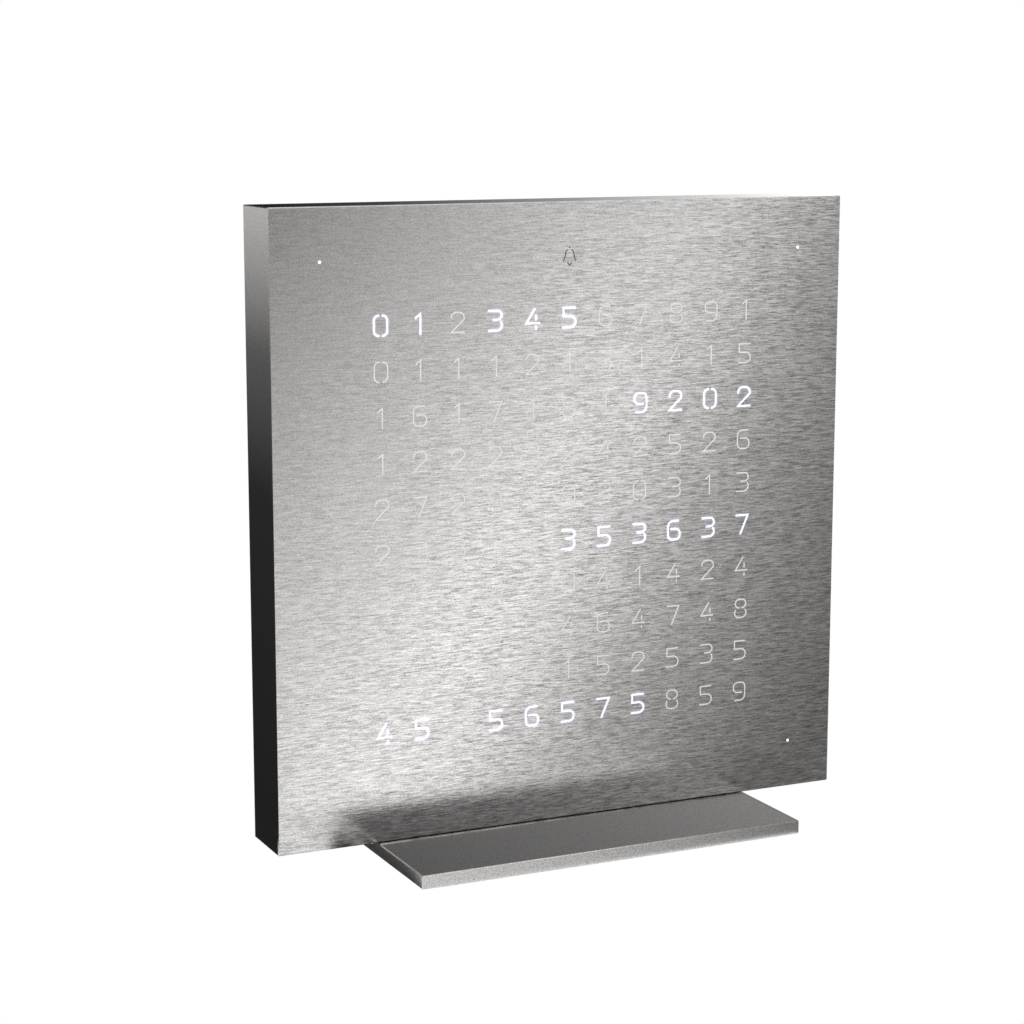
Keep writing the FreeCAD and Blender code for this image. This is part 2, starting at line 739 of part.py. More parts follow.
bind(holes, {
    "Diameter": "foot_shank + 2 * shank_gap",
    "HoleCutDiameter": "foot_head + 2 * shank_gap",
})
document.recompute()
check_cut(holes, foot_block.Shape.Volume)

foot_pad = new_body("foot_pad", TABLE)
pad_block = raise_up(foot_pad, "sheet",
                     [rectangle("foot_width - 2 * pad_inset", "foot_depth - 2 * pad_inset")],
                     "0", "pad_thickness")
round_edges(foot_pad, "round_corners", pad_block, "pad_corner", FreeCAD.Vector(0, 0, 1))
pad_hole = cut_down(foot_pad, "pad_hole", [circle("foot_head + 4 * shank_gap")],
                    "0", "pad_thickness", ("-foot_screw_spacing / 2", "0"))
repeat_across(foot_pad, "pad_holes", pad_hole, "foot_screw_spacing", "2")

foot_screws = new_body("foot_screws", TABLE)
foot_shank = raise_up(foot_screws, "shank", [circle("foot_shank")],
                      "pad_thickness", "pad_thickness + foot_screw_length",
                      ("-foot_screw_spacing / 2", "0"))
foot_head = foot_screws.newObject("PartDesign::AdditiveCone", "head")
bind(foot_head, {
    "Radius1": "foot_head / 2",
    "Radius2": "foot_shank / 2",
    "Height": "(foot_head - foot_shank) / 2",
    "Placement.Base.x": "-foot_screw_spacing / 2",
    "Placement.Base.z": "pad_thickness",
})
document.recompute()
repeat_across(foot_screws, "screws", [foot_shank, foot_head], "foot_screw_spacing", "2")

# keys on the back, each with the plunger of the switch that it presses


def key_right(number):
    """The place of a key in its row, counted from the left as seen from the front."""
    return "(" + str(number) + " - (key_count - 1) / 2) * key_spacing"


KEYS = ["hour", "minute", "alarm", "light"]
for number, word in enumerate(KEYS):
    key = new_body(word + "_key", HEAD, key_right(number))
    cap = add(key, "cap", [circle("key_cap")], "key_flange_front_y", "back_y + key_proud",
              ("0", "key_z"))
    break_edges(key, "broken_edges", cap, "key_edge")
    add(key, "flange", [circle("key_flange")], "key_flange_front_y", "key_flange_back_y",
        ("0", "key_z"))
    plunger = new_body(word + "_plunger", HEAD, key_right(number))
    add(plunger, "plunger", [circle("plunger_diameter")],
        "switch_top_y - plunger_seat", "key_flange_front_y", ("0", "key_z"))

switches = new_body("key_switches")
first_key = key_right(0)
switch_case = add(switches, "case", [rectangle("switch_side", "switch_side")],
                  "board_back_y", "switch_top_y", (first_key, "key_z"))
repeat_across(switches, "cases", switch_case, "(key_count - 1) * key_spacing", "key_count")
# the well opens to the back, where the plunger goes in
well_cut = cut(switches, "plunger_well", [circle("plunger_diameter + 2 * plunger_gap")],
               "switch_top_y - plunger_well", "switch_top_y", (first_key, "key_z"))
repeat_across(switches, "plunger_wells", well_cut,
              "(key_count - 1) * key_spacing", "key_count")

# power inlet: a metal mouth with a plastic tongue for a low voltage plug

socket = new_body("power_socket")
add(socket, "case", [rounded_slot("socket_width", "socket_height")],
    "board_back_y", "socket_mouth_y", ("0", "socket_z"))
cut(socket, "mouth",
    [rounded_slot("socket_width - 2 * socket_wall", "socket_height - 2 * socket_wall")],
    "board_back_y + socket_floor", "socket_mouth_y", ("0", "socket_z"))
tongue = new_body("socket_tongue")
add(tongue, "tongue", [rectangle("tongue_width", "tongue_thickness")],
    "board_back_y + socket_floor", "board_back_y + socket_floor + tongue_depth",
    ("0", "socket_z"))

# buzzer with its mouth behind the sound slits

buzzer = new_body("buzzer")
add(buzzer, "case", [circle("buzzer_diameter")],
    "board_back_y", "board_back_y + buzzer_height", ("-buzzer_left", "buzzer_up"))
cut(buzzer, "mouth", [circle("buzzer_mouth")],
    "board_back_y + buzzer_height / 2", "board_back_y + buzzer_height",
    ("-buzzer_left", "buzzer_up"))

# backup cell in a holder that is open to one side

battery_place = ("battery_right", "battery_up")
holder = new_body("battery_holder")
add(holder, "case", [circle("cell_diameter + 2 * (hole_gap + holder_wall)")],
    "board_back_y", "board_back_y + holder_floor + cell_thickness", battery_place)
cut(holder, "seat", [circle("cell_diameter + 2 * hole_gap")],
    "board_back_y + holder_floor", "board_back_y + holder_floor + cell_thickness",
    battery_place)
cut(holder, "side_mouth", [rectangle("cell_diameter", "holder_mouth")],
    "board_back_y + holder_floor", "board_back_y + holder_floor + cell_thickness",
    ("battery_right + cell_diameter / 2", "battery_up"))
coin_cell = new_body("coin_cell")
add(coin_cell, "can", [circle("cell_diameter")],
    "board_back_y + holder_floor",
    "board_back_y + holder_floor + cell_thickness - cell_cap_height", battery_place)
add(coin_cell, "cap", [circle("cell_cap")],
    "board_back_y + holder_floor + cell_thickness - cell_cap_height",
    "board_back_y + holder_floor + cell_thickness", battery_place)

# chips and passive parts on the back of the board

chip = new_body("microcontroller")
add(chip, "case", [rectangle("chip_side", "chip_side")],
    "board_back_y", "board_back_y + chip_height")
drivers = new_body("led_drivers")
driver = add(drivers, "case", [rectangle("driver_length", "driver_width")],
             "board_back_y", "board_back_y + driver_height",
             ("-(driver_count - 1) / 2 * driver_spacing", "driver_up"))
repeat_across(drivers, "cases", driver, "(driver_count - 1) * driver_spacing", "driver_count")
crystal = new_body("clock_crystal")
add(crystal, "case", [rounded_slot("crystal_length", "crystal_width")],
    "board_back_y", "board_back_y + crystal_height", ("-crystal_left", "0"))
capacitors = new_body("smoothing_capacitors")
base = add(capacitors, "base", [rectangle("capacitor_diameter", "capacitor_diameter")],
           "board_back_y", "board_back_y + capacitor_base",
           ("-capacitor_left", "capacitor_z"))
can = add(capacitors, "can", [circle("capacitor_diameter - hole_gap")],
          "board_back_y + capacitor_base", "board_back_y + capacitor_height",
          ("-capacitor_left", "capacitor_z"))
repeat_across(capacitors, "pair", [base, can], "capacitor_spacing", "2")
regulator = new_body("voltage_regulator")
add(regulator, "case", [rectangle("regulator_length", "regulator_width")],
    "board_back_y", "board_back_y + regulator_height",
    ("regulator_right", "capacitor_z"))

# light sensor, and the clear pipe that brings it light through the back

sensor_place = ("sensor_right", "sensor_z")
sensor = new_body("light_sensor")
add(sensor, "case", [rectangle("sensor_length", "sensor_width")],
    "board_back_y", "board_back_y + sensor_height", sensor_place)
pipe = new_body("light_pipe")
add(pipe, "rod", [circle("pipe_diameter")], "pipe_front_y", "back_y", sensor_place)
add(pipe, "collar", [circle("pipe_collar")],
    "back_inner_y - pipe_collar_thickness", "back_inner_y", sensor_place)

# spring contact between the board and the cover, which makes the cover a touch key

contact = new_body("touch_contact")
contact_base_up = "contact_top_z - contact_base / 2"
add(contact, "base", [rectangle("contact_width", "contact_base")],
    "board_front_y - contact_strip", "board_front_y", ("contact_right", contact_base_up))
add(contact, "leg", [rectangle("contact_width", "contact_strip")],
    "cover_back_y + contact_touch_gap", "board_front_y",
    ("contact_right", "contact_top_z - contact_base + contact_strip / 2"))
add(contact, "tip", [rectangle("contact_width", "contact_tip")],
    "cover_back_y + contact_touch_gap", "cover_back_y + contact_touch_gap + contact_strip",
    ("contact_right", "contact_top_z - contact_base + contact_tip / 2"))

# every feature has to stand, and every piece has to be sound, before any file is written

document.recompute()
for item in document.Objects:
    if "Invalid" in item.State or "Error" in item.State:
        raise ValueError(item.Label + " failed")
for body in bodies:
    if body.Shape.isNull() or not body.Shape.isValid():
        raise ValueError(body.Label + " is not a sound solid")

os.makedirs("parts", exist_ok=True)
for body in bodies:
    body.Shape.exportStep("parts/" + body.Label + ".step")
    print(body.Label, len(body.Shape.Solids), "solids", round(body.Shape.Volume, 2), "mm3")
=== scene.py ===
# %% [markdown]
# # A word clock in brushed steel
# The clock is a square steel tray on a flat steel foot. Light shines through signs that are
# cut in the tray's face. The shapes of the tray, the shell behind it, the keys and the foot
# come from the frame, so this lesson gives them their finish, cuts the signs and fills them
# with a milky resin, and sets up the studio.

# %% The frame
import json
import math
from functools import partial

import bmesh
import bpy
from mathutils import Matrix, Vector
from mathutils.geometry import delaunay_2d_cdt

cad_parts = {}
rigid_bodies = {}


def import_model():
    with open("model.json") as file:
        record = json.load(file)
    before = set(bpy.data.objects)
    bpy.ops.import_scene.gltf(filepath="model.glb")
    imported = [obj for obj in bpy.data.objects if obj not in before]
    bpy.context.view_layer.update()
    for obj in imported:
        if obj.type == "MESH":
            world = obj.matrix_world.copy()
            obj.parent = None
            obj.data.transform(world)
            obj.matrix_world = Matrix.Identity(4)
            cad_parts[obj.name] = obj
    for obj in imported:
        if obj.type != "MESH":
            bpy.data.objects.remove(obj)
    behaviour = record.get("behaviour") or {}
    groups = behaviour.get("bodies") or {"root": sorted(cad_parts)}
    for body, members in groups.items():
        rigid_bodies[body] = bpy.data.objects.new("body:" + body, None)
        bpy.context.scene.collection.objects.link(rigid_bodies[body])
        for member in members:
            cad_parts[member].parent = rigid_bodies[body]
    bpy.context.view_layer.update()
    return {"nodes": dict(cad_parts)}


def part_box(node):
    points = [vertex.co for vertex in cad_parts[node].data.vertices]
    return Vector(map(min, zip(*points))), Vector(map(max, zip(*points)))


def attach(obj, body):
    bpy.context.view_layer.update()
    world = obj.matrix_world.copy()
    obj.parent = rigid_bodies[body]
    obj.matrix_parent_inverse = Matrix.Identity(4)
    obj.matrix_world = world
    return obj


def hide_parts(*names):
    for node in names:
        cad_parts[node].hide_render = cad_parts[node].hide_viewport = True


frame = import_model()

MM = 0.001
nodes = frame["nodes"]

# %% [markdown]
# A reader can take every size of the scene from the frame. The tray's own box gives the
# plane of the face, its middle and its edges, and all that lies on the face is measured
# from there.

# %% The face
cover_low, cover_high = (Vector(corner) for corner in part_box("front_cover"))
foot_low, foot_high = (Vector(corner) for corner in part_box("foot_plate"))
FACE_Y = cover_low.y
FACE_MIDDLE = (cover_low + cover_high) / 2
FACE_WIDTH = cover_high.x - cover_low.x
FACE_HEIGHT = cover_high.z - cover_low.z
print("face", round(FACE_WIDTH / MM, 2), "by", round(FACE_HEIGHT / MM, 2), "mm")

# %% [markdown]
# The camera stands to the left of the face and a little above it, half a metre away. The
# photograph's edges give its place and its angle of view, so the same edges fall on the
# same places of the picture.

# %% The camera
CAMERA_PLACE = Vector((-228.23, -466.49, 161.60)) * MM
CAMERA_FORWARD = Vector((0.41739, 0.89222, -0.17243))
VIEW_ANGLE = math.radians(24.02)

camera_data = bpy.data.cameras.new("camera")
camera_data.sensor_fit = "HORIZONTAL"
camera_data.angle = VIEW_ANGLE
camera_data.clip_start = 0.01
camera_data.clip_end = 50
camera = bpy.data.objects.new("camera", camera_data)
camera.location = CAMERA_PLACE
camera.rotation_euler = CAMERA_FORWARD.to_track_quat("-Z", "Y").to_euler()
bpy.context.collection.objects.link(camera)
bpy.context.scene.camera = camera
print("lens", round(camera_data.lens, 1), "mm")

# %% [markdown]
# Materials are node trees, and a long tree in code is hard to follow. These helpers keep the
# cells below short. One adds a node with its settings and its links, one adds a Math node,
# one starts a group, one starts a material, and one gives a material to the frame's nodes.

# %% Helpers for node trees


def add_node(tree, kind, settings=None, **inputs):
    """A node with attributes set, and inputs given as values or as sockets to link."""
    node = tree.nodes.new(kind)
    for name, value in (settings or {}).items():
        setattr(node, name, value)
    for name, value in inputs.items():
        key = int(name[1:]) if name[0] == "_" else name.replace("_", " ")
        if isinstance(value, bpy.types.NodeSocket):
            tree.links.new(value, node.inputs[key])
        else:
            node.inputs[key].default_value = value
    return node


def maths(tree, kind, *values):
    """The result of a Math node, from values or from sockets to link."""
    inputs = {"_" + str(number): value for number, value in enumerate(values)}
    return add_node(tree, "ShaderNodeMath", {"operation": kind}, **inputs).outputs[0]


def new_group(name, inputs, outputs):
    """A shader node group with named sockets, its input node and its output node."""
    tree = bpy.data.node_groups.new(name, "ShaderNodeTree")
    for label, kind, value in inputs:
        socket = tree.interface.new_socket(label, in_out="INPUT", socket_type=kind)
        socket.default_value = value
    for label, kind in outputs:
        tree.interface.new_socket(label, in_out="OUTPUT", socket_type=kind)
    return tree, tree.nodes.new("NodeGroupInput"), tree.nodes.new("NodeGroupOutput")


def new_material(name):
    """An empty material, its tree and its Principled shader."""
    material = bpy.data.materials.new(name)
    material.use_nodes = True
    tree = material.node_tree
    shader = next(node for node in tree.nodes if node.type == "BSDF_PRINCIPLED")
    return material, tree, shader


def dress(names, material):
    """Gives a material to every slot of some of the frame's nodes."""
    for name in names:
        data = nodes[name].data
        data.materials.clear()
        data.materials.append(material)


print("helpers for node trees are ready")

# %% [markdown]
# Brushed steel is steel that a belt has dragged fine scratches through. Each scratch is a
# groove some hundredths of a millimetre wide and a few millimetres long. A noise that is
# stretched along the brushing gives both: long coarse streaks and a fine grain. The group
# below gives the streaks, the grain, a speckle without direction and wide patches, and the
# steel uses them for its height, its gloss and its tone.

# %% The brushed grain
grain, grain_in, grain_out = new_group(
    "brushed grain",
    [
        ("Streak length", "NodeSocketFloat", 3.0),
        ("Streak width", "NodeSocketFloat", 0.2),
        ("Direction", "NodeSocketVector", (1.0, 0.0, 0.0)),
    ],
    [("Streaks", "NodeSocketFloat"), ("Grain", "NodeSocketFloat"),
     ("Speckle", "NodeSocketFloat"), ("Patches", "NodeSocketFloat")],
)
place = add_node(grain, "ShaderNodeTexCoord").outputs["Object"]
in_mm = add_node(grain, "ShaderNodeVectorMath", {"operation": "SCALE"}, _0=place, Scale=1 / MM)
along = add_node(grain, "ShaderNodeVectorMath", {"operation": "DOT_PRODUCT"},
                 _0=in_mm.outputs[0], _1=grain_in.outputs["Direction"])
along_part = add_node(grain, "ShaderNodeVectorMath", {"operation": "SCALE"},
                      _0=grain_in.outputs["Direction"], Scale=along.outputs["Value"])
across = add_node(grain, "ShaderNodeVectorMath", {"operation": "SUBTRACT"},
                  _0=in_mm.outputs[0], _1=along_part.outputs[0])
short = maths(grain, "DIVIDE", 1.0, grain_in.outputs["Streak length"])
thin = maths(grain, "DIVIDE", 1.0, grain_in.outputs["Streak width"])
along_scaled = add_node(grain, "ShaderNodeVectorMath", {"operation": "SCALE"},
                        _0=along_part.outputs[0], Scale=short)
across_scaled = add_node(grain, "ShaderNodeVectorMath", {"operation": "SCALE"},
                         _0=across.outputs[0], Scale=thin)
brushed_place = add_node(grain, "ShaderNodeVectorMath", {"operation": "ADD"},
                         _0=along_scaled.outputs[0], _1=across_scaled.outputs[0])


def noise(vector, scale, detail, roughness):
    """A noise of the group."""
    return add_node(grain, "ShaderNodeTexNoise", Vector=vector.outputs[0], Scale=scale,
                    Detail=detail, Roughness=roughness).outputs[0]


for label, result in [
    ("Streaks", noise(brushed_place, 1.0, 3.0, 0.6)),
    ("Grain", noise(brushed_place, 3.7, 2.0, 0.7)),
    ("Speckle", noise(in_mm, 4.5, 2.0, 0.6)),
    ("Patches", noise(in_mm, 0.03, 2.0, 0.5)),
]:
    grain.links.new(result, grain_out.inputs[label])
print("group", grain.name, "has", len(grain.nodes), "nodes")

# %% [markdown]
# The tray is brushed over its whole width. The foot is a thicker plate with a shorter and
# fainter grain. Both could be painted with a picture of scratches, but a picture has a fixed
# size, and noise in the object's own millimetres is sharp from every distance. Scratches also
# shade the steel, so the noise sets its tone as well as its height.

# %% The steel of the cover and of the foot
STEEL_COLOUR = (0.608, 0.592, 0.583)
ALONG_X = (1.0, 0.0, 0.0)
LINES_MEAN, LINES_SPREAD = 0.85, 0.35
SPECKLE_MEAN, SPECKLE_SPREAD = 0.5, 0.2
GLOSS_CHANGE = 0.04
UPPER_LEFT = (9.0, 0.0, -7.0)


def brushed_steel(name, length, width, depth, roughness, contrast, speckle):
    """Steel that is brushed along X, with reflections that stretch along its tangent."""
    material, tree, shader = new_material(name)
    total = partial(maths, tree)
    brush = add_node(tree, "ShaderNodeGroup", {"node_tree": grain}, Streak_length=length,
                     Streak_width=width, Direction=ALONG_X)
    lines = total("MULTIPLY_ADD", brush.outputs["Grain"], 0.7, brush.outputs["Streaks"])
    bump = add_node(tree, "ShaderNodeBump", Strength=1.0, Distance=depth * MM, Height=lines)
    rough = add_node(tree, "ShaderNodeMapRange", Value=brush.outputs["Streaks"],
                     From_Min=0.3, From_Max=0.7, To_Min=roughness - GLOSS_CHANGE,
                     To_Max=roughness + GLOSS_CHANGE)
    # the belt bites less towards the upper left, where the streaks fade into plain grain
    place = add_node(tree, "ShaderNodeTexCoord").outputs["Object"]
    lean = add_node(tree, "ShaderNodeVectorMath", {"operation": "DOT_PRODUCT"},
                    _0=place, _1=UPPER_LEFT)
    uneven = total("MULTIPLY_ADD", brush.outputs["Patches"], 0.8, lean.outputs["Value"])
    bite = add_node(tree, "ShaderNodeMapRange", Value=uneven, From_Min=-0.8, From_Max=0.0,
                    To_Min=0.25, To_Max=1.0)
    level_lines = total("MULTIPLY", total("SUBTRACT", lines, LINES_MEAN),
                        contrast / LINES_SPREAD)
    level_speckle = total("MULTIPLY", total("SUBTRACT", brush.outputs["Speckle"], SPECKLE_MEAN),
                          speckle / SPECKLE_SPREAD)
    tone = total("ADD", total("MULTIPLY_ADD", level_lines, bite.outputs[0], level_speckle), 1.0)
    tinted = add_node(tree, "ShaderNodeVectorMath", {"operation": "SCALE"},
                      _0=STEEL_COLOUR, Scale=tone)
    # the tangent is X, and Y on the ends that face X
    facing = add_node(tree, "ShaderNodeNewGeometry").outputs["True Normal"]
    facing_x = add_node(tree, "ShaderNodeSeparateXYZ", Vector=facing).outputs["X"]
    is_end = total("GREATER_THAN", total("ABSOLUTE", facing_x), 0.7)
    tangent = add_node(tree, "ShaderNodeCombineXYZ", X=total("SUBTRACT", 1.0, is_end), Y=is_end)
    tree.links.new(tinted.outputs[0], shader.inputs["Base Color"])
    tree.links.new(rough.outputs[0], shader.inputs["Roughness"])
    tree.links.new(bump.outputs[0], shader.inputs["Normal"])
    tree.links.new(tangent.outputs[0], shader.inputs["Tangent"])
    shader.inputs["Metallic"].default_value = 1.0
    shader.inputs["Anisotropic"].default_value = 0.6
    return material


cover_steel = brushed_steel("brushed_cover", length=2.4, width=0.19, depth=0.006,
                            roughness=0.17, contrast=1.0, speckle=0.25)
foot_steel = brushed_steel("brushed_foot", length=0.6, width=0.18, depth=0.004,
                           roughness=0.30, contrast=0.30, speckle=0.35)
dress(["front_cover"], cover_steel)
dress(["foot_plate"], foot_steel)
print("materials", cover_steel.name, "and", foot_steel.name)

# %% [markdown]
# Light that leaves a sign also shows on the steel beside it. Real light in the slots could do
# that, but it would need a great many rays. So the mesh carries a glow value, one at a lit
# sign and nought a little way off, and the steel gives off a faint bluish light by it.

# %% The glow beside the lit signs
GLOW_COLOUR = (0.62, 0.60, 1.0)
GLOW_STRENGTH, GLOW_FADE = 0.6, 1.8

cover_tree = cover_steel.node_tree
cover_shader = next(node for node in cover_tree.nodes if node.type == "BSDF_PRINCIPLED")
glow_value = add_node(cover_tree, "ShaderNodeAttribute", {"attribute_name": "glow"})
fading = maths(cover_tree, "POWER", glow_value.outputs["Fac"], GLOW_FADE)
glow_light = maths(cover_tree, "MULTIPLY", fading, GLOW_STRENGTH)
cover_shader.inputs["Emission Color"].default_value = (*GLOW_COLOUR, 1)
cover_tree.links.new(glow_light, cover_shader.inputs["Emission Strength"])
print(cover_steel.name, "has", len(cover_tree.nodes), "nodes")

# %% [markdown]
# Every sign is a slot that a laser cuts through the steel. A slot can't close on itself, or
# its middle would fall out, so each figure is made of open strokes with bridges of steel
# between them. A stroke is a line of points, and its outline runs along both sides at half
# the stroke's width and turns round its ends. Lengths on the face are in millimetres, from
# its middle to the right and upwards.

# %% The strokes of the figures
STROKE = 0.33
FIGURE_SCALE = 0.87
RIGHT, TOP = 1.7, 2.4


def arc(right, up, radius, start, end, steps=6):
    """Points on an arc, with its angles in degrees from the right, counted to the top."""
    turns = [math.radians(start + (end - start) * step / steps) for step in range(steps + 1)]
    return [(right + radius * math.cos(turn), up + radius * math.sin(turn)) for turn in turns]


def mirrored(strokes):
    """The same strokes turned half round about the middle."""
    return [[(-right, -up) for right, up in stroke] for stroke in strokes]


zero_half = [(0.45, TOP)] + arc(0.5, TOP - 1.2, 1.2, 90, 0) + arc(0.5, 1.2 - TOP, 1.2, 0, -90)
zero_half = zero_half + [(0.45, -TOP)]
six = [(1.2, TOP)] + arc(-0.3, TOP - 1.4, 1.4, 90, 180) + arc(-0.5, 1.2 - TOP, 1.2, 180, 270)
six = six + arc(0.5, 1.2 - TOP, 1.2, 270, 360) + arc(0.5, -0.9, 1.2, 0, 90) + [(-0.85, 0.3)]
FIGURES = [
    [zero_half] + mirrored([zero_half]),
    [[(-0.9, 1.5), (0.25, TOP), (0.25, -TOP)]],
    [arc(-0.4, 1.1, 1.3, 180, 90) + arc(0.4, 1.1, 1.3, 90, 0)
     + [(RIGHT, 0.7), (-RIGHT, -TOP), (RIGHT, -TOP)]],
    [[(-RIGHT, TOP)] + arc(0.6, 1.3, 1.1, 90, -90) + [(-0.5, 0.2)],
     arc(0.4, -1.1, 1.3, 38, -90) + [(-RIGHT, -TOP)]],
    [[(0.5, TOP), (-RIGHT, -1.0), (RIGHT, -1.0)], [(0.9, 0.8), (0.9, -0.2)],
     [(0.9, -1.8), (0.9, -TOP)]],
    [[(RIGHT - 0.2, TOP), (-RIGHT + 0.1, TOP), (-RIGHT + 0.1, 0.3)]
     + arc(0.35, -1.05, 1.35, 90, -90) + [(-RIGHT, -TOP)]],
    [six],
    [[(-RIGHT, TOP), (RIGHT, TOP), (-0.4, -TOP)]],
    [arc(-0.4, 1.25, 1.15, 270, 180) + arc(-0.4, 1.25, 1.15, 180, 90)[1:]
     + arc(0.4, 1.25, 1.15, 90, 0) + arc(0.4, 1.25, 1.15, 0, -90)[1:],
     arc(-0.5, -1.2, 1.2, 140, 270, 9) + arc(0.5, -1.2, 1.2, 270, 400, 9)],
    mirrored([six]),
]
BELL_SIDE = [(-0.5, 1.5), (-0.85, 1.15), (-1.0, 0.6), (-1.12, -0.1), (-1.5, -0.9)]
BELL = [BELL_SIDE, [(-right, up) for right, up in BELL_SIDE],
        [(-0.12, 2.0), (0.12, 2.0)], [(-0.45, -1.3), (0.0, -1.75), (0.45, -1.3)]]
# these specks are painted highlights on the bell's outline, set as tiny slots of pale resin
BELL_PAINTED_GLINTS = [(-0.05, 1.65), (0.42, 1.68), (-1.6, -1.25), (1.6, -1.25), (-0.85, -1.3),
               (0.95, -1.3)]
PAINTED_GLINT_RADIUS = 0.13


def outline(points, half, steps=6):
    """The closed outline of a stroke: both its sides, mitred, and two round ends."""
    clean = [Vector(points[0])]
    for point in points[1:]:
        if (Vector(point) - clean[-1]).length > 0.01:
            clean.append(Vector(point))
    runs = [(after - before).normalized() for before, after in zip(clean, clean[1:])]
    sides = [Vector((-run.y, run.x)) for run in runs]
    mitres = [sides[0]]
    for before, after in zip(sides, sides[1:]):
        middle = (before + after).normalized()
        mitres.append(middle / max(middle.dot(after), 0.3))
    mitres.append(sides[-1])
    left = [point + mitre * half for point, mitre in zip(clean, mitres)]
    right = [point - mitre * half for point, mitre in zip(clean, mitres)]

    def cap(centre, run):
        facing = math.atan2(run.y, run.x)
        turns = [facing - math.pi / 2 + math.pi * step / steps for step in range(1, steps)]
        return [centre + Vector((math.cos(turn), math.sin(turn))) * half for turn in turns]

    return right + cap(clean[-1], runs[-1]) + left[::-1] + cap(clean[0], -runs[0])


print(sum(len(strokes) for strokes in FIGURES), "strokes in ten figures")

# %% [markdown]
# A figure could be a text object, but a font's figures close on themselves. So each figure
# is a small flat mesh with one polygon for each of its strokes. The ten meshes wait in a
# collection, from which the group below picks them by their number.

# %% One flat outline for each figure
figure_shelf = bpy.data.collections.new("figures")
bpy.context.scene.collection.children.link(figure_shelf)


def flat_outlines(name, strokes, half):
    """A flat mesh in the plane of the face, with one polygon for each stroke."""
    places, loops = [], []
    for stroke in strokes:
        ring = outline(stroke, half)
        loops.append(list(range(len(places), len(places) + len(ring))))
        places.extend((point.x * MM, 0.0, point.y * MM) for point in ring)
    data = bpy.data.meshes.new(name)
    data.from_pydata(places, [], loops)
    return data


for number, strokes in enumerate(FIGURES):
    smaller = [[(right * FIGURE_SCALE, up * FIGURE_SCALE) for right, up in stroke]
               for stroke in strokes]
    data = flat_outlines("figure_" + str(number), smaller, STROKE / 2)
    figure_shelf.objects.link(bpy.data.objects.new(data.name, data))

# %% [markdown]
# The signs sit on a grid of eleven columns and ten rows. They count from nought upwards in
# plain figures, one figure to a cell, in reading order. So the figure of each cell follows
# from its place alone: below ten it is the place itself, and from ten on the even places
# hold tens and the odd ones units. A loop could copy the meshes. A Geometry Nodes group
# keeps the counts and the pitches as inputs that anyone can change later.

# %% The group that lays the figures out
COLUMNS, ROWS = 11, 10
COLUMN_PITCH, ROW_PITCH = 8.67 * MM, 9.62 * MM
field = bpy.data.node_groups.new("sign field", "GeometryNodeTree")
field.interface.new_socket("Geometry", in_out="OUTPUT", socket_type="NodeSocketGeometry")
for label, kind, value in [
    ("Columns", "NodeSocketInt", COLUMNS),
    ("Rows", "NodeSocketInt", ROWS),
    ("Column pitch", "NodeSocketFloat", COLUMN_PITCH),
    ("Row pitch", "NodeSocketFloat", ROW_PITCH),
    ("Figures", "NodeSocketCollection", None),
    ("Finish", "NodeSocketMaterial", None),
]:
    socket = field.interface.new_socket(label, in_out="INPUT", socket_type=kind)
    if value is not None:
        socket.default_value = value
field_in = field.nodes.new("NodeGroupInput")
field_out = field.nodes.new("NodeGroupOutput")
sum_of = partial(maths, field)
place_number = field.nodes.new("GeometryNodeInputIndex").outputs[0]
columns = field_in.outputs["Columns"]
column = sum_of("MODULO", place_number, columns)
row = sum_of("FLOOR", sum_of("DIVIDE", sum_of("ADD", place_number, 0.5), columns))
half_columns = sum_of("DIVIDE", sum_of("SUBTRACT", columns, 1.0), 2.0)
half_rows = sum_of("DIVIDE", sum_of("SUBTRACT", field_in.outputs["Rows"], 1.0), 2.0)
place_right = sum_of("MULTIPLY", sum_of("SUBTRACT", column, half_columns),
                     field_in.outputs["Column pitch"])
place_up = sum_of("MULTIPLY", sum_of("SUBTRACT", half_rows, row),
                  field_in.outputs["Row pitch"])
spot = add_node(field, "ShaderNodeCombineXYZ", X=place_right, Z=place_up)
print("group", field.name, "puts its points", ROW_PITCH, "m apart in a column")

# %% [markdown]
# Each place now needs its figure. A list of all the figures would have to be made again for
# another number of columns, so the group works the figure out. A place from ten on shows
# one figure of a number with two figures. The instances are made real at the end, because
# the slots are cut from plain polygons.

# %% The figure for each place
past_ten = sum_of("SUBTRACT", place_number, 10.0)
count = sum_of("ADD", sum_of("FLOOR", sum_of("DIVIDE", past_ten, 2.0)), 10.0)
tens = sum_of("FLOOR", sum_of("DIVIDE", sum_of("ADD", count, 0.5), 10.0))
units = sum_of("MODULO", count, 10.0)
is_unit = sum_of("MODULO", past_ten, 2.0)
is_late = sum_of("GREATER_THAN", place_number, 9.5)
tens_or_units = sum_of("ADD", tens, sum_of("MULTIPLY", is_unit, sum_of("SUBTRACT", units, tens)))
early = sum_of("MULTIPLY", sum_of("SUBTRACT", 1.0, is_late), place_number)
figure = sum_of("ROUND", sum_of("ADD", early, sum_of("MULTIPLY", is_late, tens_or_units)))
cell_count = sum_of("MULTIPLY", columns, field_in.outputs["Rows"])
points = add_node(field, "GeometryNodePoints", Count=cell_count, Position=spot.outputs[0])
marked = add_node(field, "GeometryNodeStoreNamedAttribute",
                  {"data_type": "INT", "domain": "POINT"}, Geometry=points.outputs[0],
                  Name="cell", Value=place_number)
shelf = add_node(field, "GeometryNodeCollectionInfo", Collection=field_in.outputs["Figures"],
                 Separate_Children=True, Reset_Children=True)
laid = add_node(field, "GeometryNodeInstanceOnPoints", Points=marked.outputs[0],
                Instance=shelf.outputs[0], Pick_Instance=True, Instance_Index=figure)
real = add_node(field, "GeometryNodeRealizeInstances", Geometry=laid.outputs[0])
painted = add_node(field, "GeometryNodeSetMaterial", Geometry=real.outputs[0],
                   Material=field_in.outputs["Finish"])
field.links.new(painted.outputs[0], field_out.inputs[0])
print("group", field.name, "has", len(field.nodes), "nodes")

